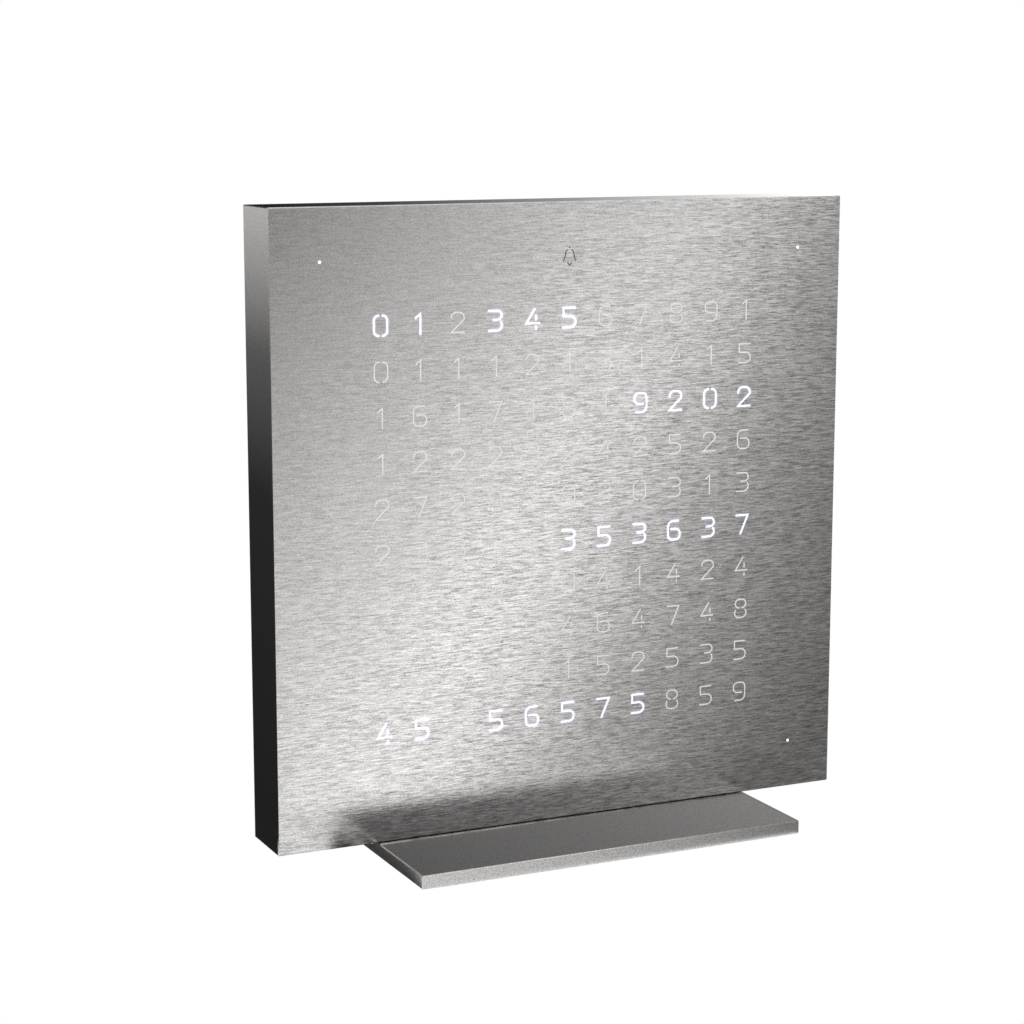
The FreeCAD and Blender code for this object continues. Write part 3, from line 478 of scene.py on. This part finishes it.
# %% [markdown]
# A lit sign and a dark one are the same slot with the same resin, and only the lamp behind
# it differs. So all the slots are laid out at once, and each is then sorted by its cell. The
# mesh of the layout serves only to give the slots their places, and it is thrown away.

# %% The figures laid out, and the few that are lit
FIELD_DROP = 0.4
LIT_CELLS = {0: (0, 1, 3, 4, 5), 2: (7, 8, 9, 10), 5: (5, 6, 7, 8, 9, 10),
             9: (0, 1, 3, 4, 5, 6, 7)}


def mesh_from_group(name, group, values):
    """A plain mesh from a Geometry Nodes group with its inputs set by name."""
    bearer = bpy.data.objects.new(name, bpy.data.meshes.new(name))
    bpy.context.collection.objects.link(bearer)
    modifier = bearer.modifiers.new("grow", "NODES")
    modifier.node_group = group
    for item in group.interface.items_tree:
        if item.in_out == "INPUT" and item.name in values:
            modifier[item.identifier] = values[item.name]
    bearer.update_tag()
    ready = bearer.evaluated_get(bpy.context.evaluated_depsgraph_get())
    data = bpy.data.meshes.new_from_object(ready)
    bpy.data.objects.remove(bearer)
    return data


layout = mesh_from_group("layout", field, {
    "Columns": COLUMNS, "Rows": ROWS, "Column pitch": COLUMN_PITCH, "Row pitch": ROW_PITCH,
    "Figures": figure_shelf, "Finish": cover_steel})
cell_of = [item.value for item in layout.attributes["cell"].data]
slots = []
for polygon in layout.polygons:
    ring = [(layout.vertices[place].co.x / MM, layout.vertices[place].co.z / MM - FIELD_DROP)
            for place in polygon.vertices]
    cell = cell_of[polygon.vertices[0]]
    lit = cell % COLUMNS in LIT_CELLS.get(cell // COLUMNS, ())
    slots.append((ring, "lit" if lit else "unlit"))
bpy.data.meshes.remove(layout)
for item in list(figure_shelf.objects):
    bpy.data.objects.remove(item)
bpy.data.collections.remove(figure_shelf)
print(len(slots), "slots,", sum(kind == "lit" for ring, kind in slots), "of them lit")

# %% [markdown]
# Four dots in the corners count single minutes, and a bell near the top edge tells that the
# alarm is set. Three dots are lit, fainter than the figures. The bell is dark, and its
# strokes are thinner; their near-black fill is painted shade, for slots with no lamp behind
# them. Six pale specks round the bell are painted highlights, made as tiny slots of the pale
# resin. All of them are outlines like those of the figures, so they join the same list of
# slots.

# %% The dots and the bell
DOT_PLACE, DOT_RADIUS = 56.5, 0.36
DOT_DROP = 0.2
BELL_UP, BELL_STROKE = 55.8, 0.24
for side, level in ((-1, 1), (1, 1), (1, -1), (-1, -1)):
    ring = arc(side * DOT_PLACE, level * DOT_PLACE - DOT_DROP, DOT_RADIUS, 0, 360, 24)[:-1]
    slots.append((ring, "unlit" if (side, level) == (-1, -1) else "dot"))
for stroke in BELL:
    ring = [(point.x, point.y + BELL_UP) for point in outline(stroke, BELL_STROKE / 2)]
    slots.append((ring, "bell"))
# the painted highlights round the bell go in with the pale unlit resin
for right, up in BELL_PAINTED_GLINTS:
    slots.append((arc(right, up + BELL_UP, PAINTED_GLINT_RADIUS, 0, 360, 12)[:-1], "unlit"))
print(len(slots), "slots in all")

# %% [markdown]
# The face with its slots is one sheet. The outline of the sheet, of every slot and of a
# narrow ring round every lit slot go into one triangulation. A triangle inside a slot
# belongs to the resin that fills it, and every other triangle belongs to the steel. The ring
# is for the glow. Its value is one at the corners of the slot and nought at those of the
# ring, so it fades between them.

# %% The triangulation
GLOW_REACH = 0.42
SHEET = 1.0
hollow_half = (FACE_WIDTH / MM) / 2 - SHEET
places = [(-hollow_half, -hollow_half), (hollow_half, -hollow_half),
          (hollow_half, hollow_half), (-hollow_half, hollow_half)]
square_loop = [0, 1, 2, 3]
loops = [square_loop]
kinds = ["sheet"]
glowing = set()
INSIDE_ONLY = 1
SAME_PLACE = 1e-6


def grow_ring(ring, reach):
    """A ring moved outwards by a reach, along the mean normal of each corner."""
    corners = [Vector(point) for point in ring]
    area = sum(a.x * b.y - b.x * a.y for a, b in zip(corners, corners[1:] + corners[:1]))
    sign = 1 if area > 0 else -1
    moved = []
    for number, corner in enumerate(corners):
        before = (corner - corners[number - 1]).normalized()
        after = (corners[(number + 1) % len(corners)] - corner).normalized()
        run = (before + after).normalized()
        moved.append((corner.x + sign * run.y * reach, corner.y - sign * run.x * reach))
    return moved


for ring, kind in slots:
    first = len(places)
    places.extend(ring)
    loops.append(list(range(first, len(places))))
    kinds.append(kind)
    if kind == "lit":
        glowing.update(loops[-1])
        first = len(places)
        places.extend(grow_ring(ring, GLOW_REACH))
        loops.append(list(range(first, len(places))))
        kinds.append("ring")
flat, _, triangles, old_places, _, old_loops = delaunay_2d_cdt(
    [Vector(place) for place in places], [], loops, INSIDE_ONLY, SAME_PLACE)
slot_kinds = ("lit", "unlit", "dot", "bell")


def kind_of(origins):
    """What a triangle belongs to, from the outlines that hold it."""
    for origin in origins:
        if kinds[origin] in slot_kinds:
            return kinds[origin]
    return "sheet"


owners = [kind_of(origins) for origins in old_loops]
glow = [1.0 if any(place in glowing for place in origins) else 0.0 for origins in old_places]
print(len(triangles), "triangles:", {kind: owners.count(kind) for kind in set(owners)})

# %% [markdown]
# The tray from the frame has a plain face. Its face, the inner side of it and the walls of
# its dots are taken away here and made again with all the slots, and its folded sides stay.
# Boolean cuts could do it, but so many small slots are slow to cut and easily leave holes.
# Faces that come from one triangulation share their corners, so the mesh stays closed.

# %% The tray without its old face
middle = Vector((FACE_MIDDLE.x, 0, FACE_MIDDLE.z))
cover_mesh = nodes["front_cover"].data.copy()
cover_mesh.name = "brushed_cover_mesh"
body = bmesh.new()
body.from_mesh(cover_mesh)
glow_layer = body.verts.layers.float.new("glow")
inner_y = FACE_Y + SHEET * MM
HAIR = 1e-6


def lies_on(face, level):
    """True for a face that lies on a plane across Y."""
    return all(abs(corner.co.y - level) < HAIR for corner in face.verts)


def in_dot(face):
    """True for the wall of a dot's hole."""
    centre = face.calc_center_median() - middle
    return abs(abs(centre.x / MM) - DOT_PLACE) < 1 and abs(abs(centre.z / MM) - DOT_PLACE) < 1


def turn_about_middle(corner):
    """The angle of a corner about the middle of the face."""
    return math.atan2(corner.co.z - middle.z, corner.co.x - middle.x)


old_faces = [face for face in body.faces
             if lies_on(face, FACE_Y) or lies_on(face, inner_y) or in_dot(face)]
bmesh.ops.delete(body, geom=old_faces, context="FACES")
rim = [corner for corner in body.verts if abs(corner.co.y - FACE_Y) < HAIR]
rim.sort(key=turn_about_middle)
print(len(old_faces), "old faces are gone, and the rim has", len(rim), "corners")

# %% [markdown]
# A slot in sheet steel has straight walls. So the triangles of the steel are laid twice, in
# the plane of the face and in the plane of its inner side. A wall stands wherever a triangle
# of steel has something else beside it. A last strip joins the sheet to the rim of the tray.

# %% The face with its slots


def levelled(target, level):
    """The flat corners of the triangulation put in a mesh at a level across Y."""
    return [target.verts.new((place.x * MM + middle.x, level, place.y * MM + middle.z))
            for place in flat]


front, back = levelled(body, FACE_Y), levelled(body, inner_y)
for corner, value in zip(front, glow):
    corner[glow_layer] = value
neighbours = {}
for triangle, owner in zip(triangles, owners):
    for start, end in zip(triangle, list(triangle[1:]) + [triangle[0]]):
        neighbours[(start, end)] = owner
    if owner == "sheet":
        body.faces.new([front[place] for place in triangle])
        body.faces.new([back[place] for place in reversed(triangle)])
for (start, end), owner in neighbours.items():
    if owner == "sheet" and neighbours.get((end, start), "sheet") != "sheet":
        body.faces.new([front[end], front[start], back[start], back[end]])
# the strip of the face between the square over the hollow and the rim of the tray
square = [front[number] for number, origins in enumerate(old_places)
          if origins and min(origins) in square_loop]
square.sort(key=turn_about_middle)
border = rim + square
border_flat = [Vector((corner.co.x / MM, corner.co.z / MM)) for corner in border]
border_loops = [list(range(len(rim))), list(range(len(rim), len(border)))]
INNER_LOOP = 1
_, _, strips, old, _, old_rings = delaunay_2d_cdt(
    border_flat, [], border_loops, INSIDE_ONLY, SAME_PLACE)
for strip, origins in zip(strips, old_rings):
    if INNER_LOOP not in origins:
        body.faces.new([border[old[place][0]] for place in strip])
print(len(body.faces), "faces before the corners are joined")

# %% [markdown]
# The new faces touch the old sides only by place, so corners that coincide are joined. Each
# edge of a closed solid has two faces, and the count of the others shows whether it is
# closed. The bends of the tray are sharp, so its faces are shaded flat.

# %% The steel cover as a piece
bmesh.ops.remove_doubles(body, verts=body.verts, dist=HAIR)
unused = [corner for corner in body.verts if not corner.link_faces]
bmesh.ops.delete(body, geom=unused, context="VERTS")
open_edges = sum(len(edge.link_faces) != 2 for edge in body.edges)
body.to_mesh(cover_mesh)
body.free()
for name in ("custom_normal", "sharp_face", "sharp_edge"):
    if name in cover_mesh.attributes:
        cover_mesh.attributes.remove(cover_mesh.attributes[name])
cover_mesh.materials.clear()
cover_mesh.materials.append(cover_steel)
for polygon in cover_mesh.polygons:
    polygon.use_smooth = False
cover = bpy.data.objects.new("stencil_cover", cover_mesh)
bpy.context.collection.objects.link(cover)
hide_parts("front_cover")
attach(cover, "cover")
print("cover has", len(cover_mesh.polygons), "faces and", open_edges, "open edges")

# %% [markdown]
# Clear resin with white powder in it fills the slots, so that light from the wells behind
# leaves them evenly and dust stays out. It ends a hair behind the face. Lamps in the wells
# could light it, but they would need many more rays. So the lit signs and the lit dots give
# off light by themselves here, each with a resin of its own. The bell's fill is near black,
# which is painted shade for slots with no lamp behind them.

# %% The resin
RESIN_INSET = 0.02


def resin(name, colour, light, roughness):
    """Resin with faint clouds in it, that may give off light of its own."""
    material, tree, shader = new_material(name)
    place = add_node(tree, "ShaderNodeTexCoord").outputs["Object"]
    clouds = add_node(tree, "ShaderNodeTexNoise", Vector=place, Scale=900.0, Detail=2.0)
    tone = add_node(tree, "ShaderNodeMapRange", Value=clouds.outputs[0],
                    From_Min=0.3, From_Max=0.7, To_Min=0.9, To_Max=1.0)
    tinted = add_node(tree, "ShaderNodeVectorMath", {"operation": "SCALE"},
                      _0=colour, Scale=tone.outputs[0])
    tree.links.new(tinted.outputs[0], shader.inputs["Base Color"])
    shader.inputs["Roughness"].default_value = roughness
    if light:
        tree.links.new(tinted.outputs[0], shader.inputs["Emission Color"])
        shader.inputs["Emission Strength"].default_value = light
    return material


resins = {
    "lit": resin("lit_resin", (0.97, 0.975, 1.0), 0.45, 0.5),
    "unlit": resin("unlit_resin", (0.74, 0.74, 0.73), 0.0, 0.45),
    "dot": resin("dot_resin", (0.97, 0.97, 0.96), 0.3, 0.45),
    # the bell's near-black fill is painted shade, for the shade in slots with no lamp behind them
    "bell": resin("bell_resin", (0.06, 0.06, 0.06), 0.0, 0.4),
}
piece_names = {"lit": "lit_signs", "unlit": "unlit_signs", "dot": "minute_dots",
               "bell": "alarm_bell_sign"}
for kind, name in piece_names.items():
    filling = bmesh.new()
    outer = levelled(filling, FACE_Y + RESIN_INSET * MM)
    inner = levelled(filling, inner_y)
    for triangle, owner in zip(triangles, owners):
        if owner == kind:
            filling.faces.new([outer[place] for place in triangle])
            filling.faces.new([inner[place] for place in reversed(triangle)])
    for (start, end), owner in neighbours.items():
        if owner == kind and neighbours.get((end, start)) != kind:
            filling.faces.new([outer[end], outer[start], inner[start], inner[end]])
    unused = [corner for corner in filling.verts if not corner.link_faces]
    bmesh.ops.delete(filling, geom=unused, context="VERTS")
    data = bpy.data.meshes.new(name)
    filling.to_mesh(data)
    filling.free()
    data.materials.append(resins[kind])
    piece = bpy.data.objects.new(name, data)
    bpy.context.collection.objects.link(piece)
    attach(piece, "cover")
    print(name, len(data.polygons), "faces")

# %% [markdown]
# Behind the steel are moulded plastics, a green board and small metal parts. Plastic has a
# fine sparked texture from its mould. Drawn and plated metal has faint lines and blotches.
# Each part could have a node tree of its own, but all of these are a fine noise over one
# colour. So one function makes them, with the colour, the gloss and the noise as its values.

# %% Finishes for the pieces behind the cover


def finish(name, colour, roughness, metal=0.0, size=1500.0, depth=0.02, spread=0.12,
           stretch=(1.0, 1.0, 1.0), see_through=0.0):
    """A finish with a fine texture in its tone, its gloss and its surface."""
    material, tree, shader = new_material(name)
    place = add_node(tree, "ShaderNodeTexCoord").outputs["Object"]
    stretched = add_node(tree, "ShaderNodeVectorMath", {"operation": "MULTIPLY"},
                         _0=place, _1=stretch)
    noise = add_node(tree, "ShaderNodeTexNoise", Vector=stretched.outputs[0], Scale=size,
                     Detail=3.0)
    bump = add_node(tree, "ShaderNodeBump", Strength=0.4, Distance=depth * MM,
                    Height=noise.outputs[0])
    rough = add_node(tree, "ShaderNodeMapRange", Value=noise.outputs[0],
                     To_Min=roughness - 0.08, To_Max=roughness + 0.08)
    tone = add_node(tree, "ShaderNodeMapRange", Value=noise.outputs[0],
                    To_Min=1 - spread, To_Max=1 + spread)
    tinted = add_node(tree, "ShaderNodeVectorMath", {"operation": "SCALE"},
                      _0=colour, Scale=tone.outputs[0])
    tree.links.new(tinted.outputs[0], shader.inputs["Base Color"])
    tree.links.new(rough.outputs[0], shader.inputs["Roughness"])
    tree.links.new(bump.outputs[0], shader.inputs["Normal"])
    shader.inputs["Metallic"].default_value = metal
    shader.inputs["Transmission Weight"].default_value = see_through
    return material


SPUN = (1.0, 1.0, 12.0)
KEYS = ["hour", "minute", "alarm", "light"]
dress(["keeper_discs"], finish("keeper_steel", (0.42, 0.42, 0.43), 0.35, 1.0, 900.0))
dress(["diffuser_panel"], finish("milky_acrylic", (0.86, 0.86, 0.85), 0.35, spread=0.04))
dress(["light_baffle"], finish("baffle_black", (0.025, 0.025, 0.027), 0.7))
dress(["letter_leds", "minute_leds", "bell_led"],
      finish("led_white", (0.82, 0.80, 0.66), 0.3, spread=0.06))
dress(["rear_shell"], finish("shell_black", (0.03, 0.03, 0.032), 0.55, depth=0.03))
dress(["cover_magnets"], finish("magnet_nickel", (0.66, 0.64, 0.60), 0.2, 1.0, 700.0))
dress(["frame_screws", "foot_screws"],
      finish("screw_zinc", (0.62, 0.64, 0.66), 0.3, 1.0, 1200.0))
dress(["foot_bracket"], finish("bar_steel", (0.5, 0.49, 0.48), 0.42, 1.0, 900.0, stretch=SPUN))
dress(["foot_pad"], finish("pad_rubber", (0.022, 0.022, 0.022), 0.85, depth=0.05))
dress([word + "_key" for word in KEYS], finish("key_plastic", (0.05, 0.05, 0.053), 0.4))
dress([word + "_plunger" for word in KEYS], finish("plunger_plastic", (0.72, 0.70, 0.64), 0.5))
dress(["key_switches"], finish("switch_case", (0.07, 0.07, 0.07), 0.5))
dress(["power_socket"], finish("socket_metal", (0.7, 0.69, 0.66), 0.25, 1.0, 1000.0))
dress(["socket_tongue", "microcontroller", "led_drivers", "voltage_regulator", "buzzer",
       "battery_holder"], finish("component_black", (0.035, 0.035, 0.037), 0.5))
dress(["coin_cell"], finish("cell_steel", (0.6, 0.6, 0.59), 0.28, 1.0, 1100.0))
dress(["clock_crystal"], finish("crystal_can", (0.64, 0.63, 0.6), 0.22, 1.0, 900.0))
dress(["smoothing_capacitors"], finish("capacitor_can", (0.55, 0.56, 0.58), 0.3, 1.0, 900.0))
dress(["light_sensor"], finish("sensor_clear", (0.30, 0.24, 0.16), 0.15, see_through=0.3))
dress(["light_pipe"], finish("pipe_clear", (0.93, 0.94, 0.94), 0.08, depth=0.002, spread=0.03,
                             see_through=0.9))
dress(["touch_contact"], finish("contact_bronze", (0.72, 0.52, 0.30), 0.3, 1.0, 900.0))
print(len(bpy.data.materials), "materials so far")

# %% [markdown]
# A circuit board is glass cloth under green lacquer, and copper tracks show through the
# lacquer as lighter lines. A Brick Texture, turned into the plane of the board, gives lines
# in two directions. That is enough for a board that hardly shows.

# %% The board
board_green, board_tree, board_shader = new_material("board_green")
board_place = add_node(board_tree, "ShaderNodeTexCoord").outputs["Object"]
turned = add_node(board_tree, "ShaderNodeMapping", Vector=board_place,
                  Rotation=(math.radians(90), 0, 0))
tracks = add_node(board_tree, "ShaderNodeTexBrick", Vector=turned.outputs[0], Scale=260.0,
                  Color1=(0.012, 0.085, 0.035, 1), Color2=(0.016, 0.11, 0.045, 1),
                  Mortar=(0.03, 0.17, 0.07, 1))
board_bump = add_node(board_tree, "ShaderNodeBump", Strength=0.3, Distance=0.03 * MM,
                      Height=tracks.outputs["Fac"])
board_tree.links.new(tracks.outputs["Color"], board_shader.inputs["Base Color"])
board_tree.links.new(board_bump.outputs[0], board_shader.inputs["Normal"])
board_shader.inputs["Roughness"].default_value = 0.35
dress(["led_board"], board_green)
print(len(nodes), "nodes have a finish")

# %% [markdown]
# The clock stands on white paper in a white room. Paper under lamps is never evenly white,
# so the camera and the steel see plain white instead of it, while the paper and the room
# give the dark parts a softer light.

# %% The room
FLOOR_SIZE = 12.0


def seen_white(tree, plain):
    """Joins a shader with plain white for camera rays and for rays that left a surface."""
    path = add_node(tree, "ShaderNodeLightPath").outputs
    camera_or_gloss = maths(tree, "MAXIMUM", path["Is Camera Ray"], path["Is Glossy Ray"])
    seen = maths(tree, "MAXIMUM", camera_or_gloss, path["Is Transmission Ray"])
    return add_node(tree, "ShaderNodeMixShader", _0=seen, _1=plain)


def stage_sheet(name, corners, material):
    """A four-cornered sheet of the studio, in metres."""
    data = bpy.data.meshes.new(name)
    data.from_pydata([Vector(corner) for corner in corners], [], [(0, 1, 2, 3)])
    data.materials.append(material)
    sheet = bpy.data.objects.new(name, data)
    bpy.context.collection.objects.link(sheet)
    return sheet


paper, paper_tree, paper_shader = new_material("floor_paper")
paper_shader.inputs["Base Color"].default_value = (0.85, 0.85, 0.85, 1)
paper_shader.inputs["Roughness"].default_value = 0.9
paper_end = next(node for node in paper_tree.nodes if node.type == "OUTPUT_MATERIAL")
white = add_node(paper_tree, "ShaderNodeEmission", Color=(1, 1, 1, 1), Strength=1.0)
mixed = seen_white(paper_tree, paper_shader.outputs[0])
paper_tree.links.new(white.outputs[0], mixed.inputs[2])
paper_tree.links.new(mixed.outputs[0], paper_end.inputs["Surface"])
half = FLOOR_SIZE / 2
stage_sheet("floor", [(-half, -half, 0), (half, -half, 0), (half, half, 0), (-half, half, 0)],
            paper)

room = bpy.data.worlds.new("studio")
bpy.context.scene.world = room
room.use_nodes = True
room_tree = room.node_tree
dim = next(node for node in room_tree.nodes if node.type == "BACKGROUND")
dim.inputs["Color"].default_value = (0.80, 0.80, 0.80, 1)
room_end = next(node for node in room_tree.nodes if node.type == "OUTPUT_WORLD")
bright = add_node(room_tree, "ShaderNodeBackground", Color=(1, 1, 1, 1), Strength=1.0)
room_mixed = seen_white(room_tree, dim.outputs[0])
room_tree.links.new(bright.outputs[0], room_mixed.inputs[2])
room_tree.links.new(room_mixed.outputs[0], room_end.inputs["Surface"])
print("floor", FLOOR_SIZE, "m wide")

# %% [markdown]
# Steel has hardly any colour of its own. What it shows is its surroundings, so the studio
# places cards round the clock for the steel to reflect. Lamps alone would give bright spots,
# and a picture of a room would bring its furniture into the steel. A card gives off light by
# a ramp of greys, and neither the camera nor the dull parts see it.

# %% Helpers for the cards


def card_material(name):
    """A card that gives off light, and the sockets that tell where on it a point lies."""
    material = bpy.data.materials.new(name)
    material.use_nodes = True
    tree = material.node_tree
    tree.nodes.clear()
    end = tree.nodes.new("ShaderNodeOutputMaterial")
    light = add_node(tree, "ShaderNodeEmission", Color=(1, 1, 1, 1))
    tree.links.new(light.outputs[0], end.inputs["Surface"])
    place = add_node(tree, "ShaderNodeTexCoord").outputs["Object"]
    split = add_node(tree, "ShaderNodeSeparateXYZ", Vector=place)
    return material, tree, light, split.outputs


def ramp_in(tree, value, stops):
    """A ramp of grey through stops of (place, grey)."""
    ramp = add_node(tree, "ShaderNodeValToRGB", _0=value)
    elements = ramp.color_ramp.elements
    elements[0].position = stops[0][0]
    elements[1].position = stops[-1][0]
    for spot_on_ramp, _ in stops[1:-1]:
        elements.new(spot_on_ramp)
    for element, (spot_on_ramp, grey) in zip(elements, stops):
        element.color = (grey, grey, grey, 1)
    return ramp.outputs[0]


def hidden_card(name, corners, material):
    """A card that only polished surfaces see."""
    card = stage_sheet(name, corners, material)
    card.visible_camera = False
    card.visible_diffuse = False
    card.visible_shadow = False
    card.visible_transmission = False


print("helpers for the cards are ready")

# %% [markdown]
# The face reflects what is in front of it, so one card stands there. It is bright along a
# slanting band and darker to both sides of it, and most of all to the right. The band is
# laid out over the field of the signs and carried over to the card, because its places on
# the face are what can be measured.

# %% The card in front
CARD_Y = -0.045
MIRRORED_EYE_Y = 0.4515
CARD_SCALE = (CARD_Y - MIRRORED_EYE_Y) / (FACE_Y - MIRRORED_EYE_Y)
CARD_SHIFT, CARD_DROP = 0.01865, 0.0132
FIELD_LEFT, FIELD_TOP, FIELD_STEP = 0.060, 0.1311, 0.015
RIDGE_START, RIDGE_SLOPE, RIDGE_REACH = 5.3, 0.575, 8.0
CARD_REACH, CARD_TOP = 0.30, 0.30
LIFT = 0.0003

front_card, tree, light, (right_of, _, up_of) = card_material("front_card")
on_card = partial(maths, tree)
# the place on the face that reflects this place on the card
face_right = on_card("DIVIDE", on_card("SUBTRACT", right_of, CARD_SHIFT), CARD_SCALE)
face_up = on_card("DIVIDE", on_card("ADD", up_of, CARD_DROP), CARD_SCALE)
column_at = on_card("DIVIDE", on_card("ADD", face_right, FIELD_LEFT), FIELD_STEP)
row_at = on_card("DIVIDE", on_card("SUBTRACT", FIELD_TOP, face_up), FIELD_STEP)
# the bright ridge leans to the left on its way down, and the light falls off on both sides
ridge_at = on_card("SUBTRACT", RIDGE_START, on_card("MULTIPLY", row_at, RIDGE_SLOPE))
off_ridge = on_card("SUBTRACT", column_at, ridge_at)
across_ridge = add_node(tree, "ShaderNodeMapRange", Value=off_ridge, From_Min=-RIDGE_REACH,
                        From_Max=RIDGE_REACH).outputs[0]
band = ramp_in(tree, across_ridge,
               [(0.10, 0.38), (0.31, 0.74), (0.48, 1.0), (0.55, 1.0), (0.62, 0.80),
                (0.69, 0.56), (0.76, 0.40), (0.86, 0.25), (0.97, 0.15)])
peak = add_node(tree, "ShaderNodeMapRange", Value=row_at, From_Min=0.0, From_Max=6.0,
                To_Min=0.95, To_Max=1.22).outputs[0]
tree.links.new(on_card("MULTIPLY", band, peak), light.inputs["Strength"])
hidden_card("front_card", [(-CARD_REACH, CARD_Y, LIFT), (CARD_REACH, CARD_Y, LIFT),
                           (CARD_REACH, CARD_Y, CARD_TOP), (-CARD_REACH, CARD_Y, CARD_TOP)],
            front_card)
print("front card at", CARD_Y, "m")

# %% [markdown]
# The side, the top and the foot each reflect another part of the room. One even room can't
# suit them all, so each has a card of its own, with a light that runs through a few stops
# from one end to the other. The card at the left is dark with a light top, and the one behind
# runs from dark on the left to light. Those of the foot are close to it, because its low
# sides reflect only what is near the floor.

# %% The cards at the left, behind and round the foot


def graded_card(name, corners, side, start, end, stops):
    """A card whose light runs through stops along one axis between two places."""
    material, tree, light, sides = card_material(name)
    along_card = add_node(tree, "ShaderNodeMapRange", Value=sides[side], From_Min=start,
                          From_Max=end).outputs[0]
    tree.links.new(ramp_in(tree, along_card, stops), light.inputs["Strength"])
    hidden_card(name, corners, material)


def upright_card(x_places, y_places, low, high):
    """The corners of an upright card between two places on the floor."""
    (x0, x1), (y0, y1) = x_places, y_places
    return [(x0, y0, low), (x1, y1, low), (x1, y1, high), (x0, y0, high)]


def level_card(x0, x1, y0, y1, height):
    """The corners of a level card."""
    return [(x0, y0, height), (x1, y0, height), (x1, y1, height), (x0, y1, height)]


X_SIDE, Z_SIDE = 0, 2
FOOT_RIGHT, FOOT_FRONT, FOOT_TOP = foot_high.x, foot_low.y, foot_high.z
NEAR_FLOOR = 0.0002
FOOT_LEFT_GAP = -FOOT_RIGHT - 0.0002
ROOM_BACK = 0.60
graded_card("left_card", upright_card((-0.085, -0.085), (-0.20, ROOM_BACK), LIFT, 0.40),
            Z_SIDE, 0.0, 0.16, [(0.0, 0.02), (0.45, 0.03), (0.65, 0.14), (0.85, 0.66), (1.0, 0.9)])
graded_card("left_floor_card", level_card(-0.30, -0.0678, -0.0070, ROOM_BACK, LIFT),
            X_SIDE, -0.30, 0.0, [(0.0, 0.02), (1.0, 0.02)])
graded_card("back_card", upright_card((-0.5, 0.7), (0.12, 0.12), LIFT, 0.50),
            X_SIDE, -0.03, 0.15, [(0.0, 0.0), (0.22, 0.06), (0.5, 0.35), (0.75, 0.8), (1.0, 1.5)])
graded_card("foot_top_card", level_card(-FOOT_RIGHT, FOOT_RIGHT, FOOT_FRONT, FACE_Y - 0.0004,
                                        FOOT_TOP + LIFT),
            X_SIDE, -FOOT_RIGHT, FOOT_RIGHT, [(0.0, 0.15), (0.5, 0.22), (1.0, 0.32)])
graded_card("foot_front_card", upright_card((-0.05, 0.06), (FOOT_FRONT - 0.002,) * 2,
                                            NEAR_FLOOR, FOOT_TOP),
            X_SIDE, -FOOT_RIGHT, FOOT_RIGHT, [(0.0, 0.90), (0.5, 0.62), (1.0, 0.28)])
# this card's front edge slants, so that the face doesn't see it past the corner of the foot
graded_card("foot_floor_card",
            [(-0.0547, -0.0125, NEAR_FLOOR), (FOOT_LEFT_GAP, -0.033, NEAR_FLOOR),
             (FOOT_LEFT_GAP, 0.048, NEAR_FLOOR), (-0.0547, 0.048, NEAR_FLOOR)],
            X_SIDE, -FOOT_RIGHT, FOOT_RIGHT, [(0.0, 0.05), (1.0, 0.05)])
graded_card("right_floor_card", level_card(FOOT_RIGHT + 0.0005, 0.20, CARD_Y, 0.0, LIFT),
            X_SIDE, FOOT_RIGHT, 0.20, [(0.0, 0.2), (1.0, 0.2)])
print("eight cards round the clock")

# %% [markdown]
# Two soft boxes light the plastic and the paper, one from the front right and one from
# behind on the left. Small lamps would give hard shadows. The boxes would also show as bright
# patches in the steel, so they are hidden from reflections, and the cards do that work.

# %% The lamps


def soft_light(name, place, target, width, height, power):
    """A soft box that looks at a target and that steel doesn't reflect."""
    data = bpy.data.lights.new(name, "AREA")
    data.shape = "RECTANGLE"
    data.size = width
    data.size_y = height
    data.energy = power
    box = bpy.data.objects.new(name, data)
    box.location = place
    box.rotation_euler = (Vector(target) - Vector(place)).to_track_quat("-Z", "Y").to_euler()
    box.visible_glossy = False
    bpy.context.collection.objects.link(box)


CLOCK_MIDDLE = (0, 0, 0.07)
soft_light("key", (0.9, -1.1, 0.9), CLOCK_MIDDLE, 0.6, 0.6, 9.0)
soft_light("back_fill", (-0.5, 1.1, 0.8), CLOCK_MIDDLE, 0.8, 0.8, 12.0)
bpy.context.scene.view_settings.view_transform = "Standard"
print(len(bpy.data.lights), "soft boxes")
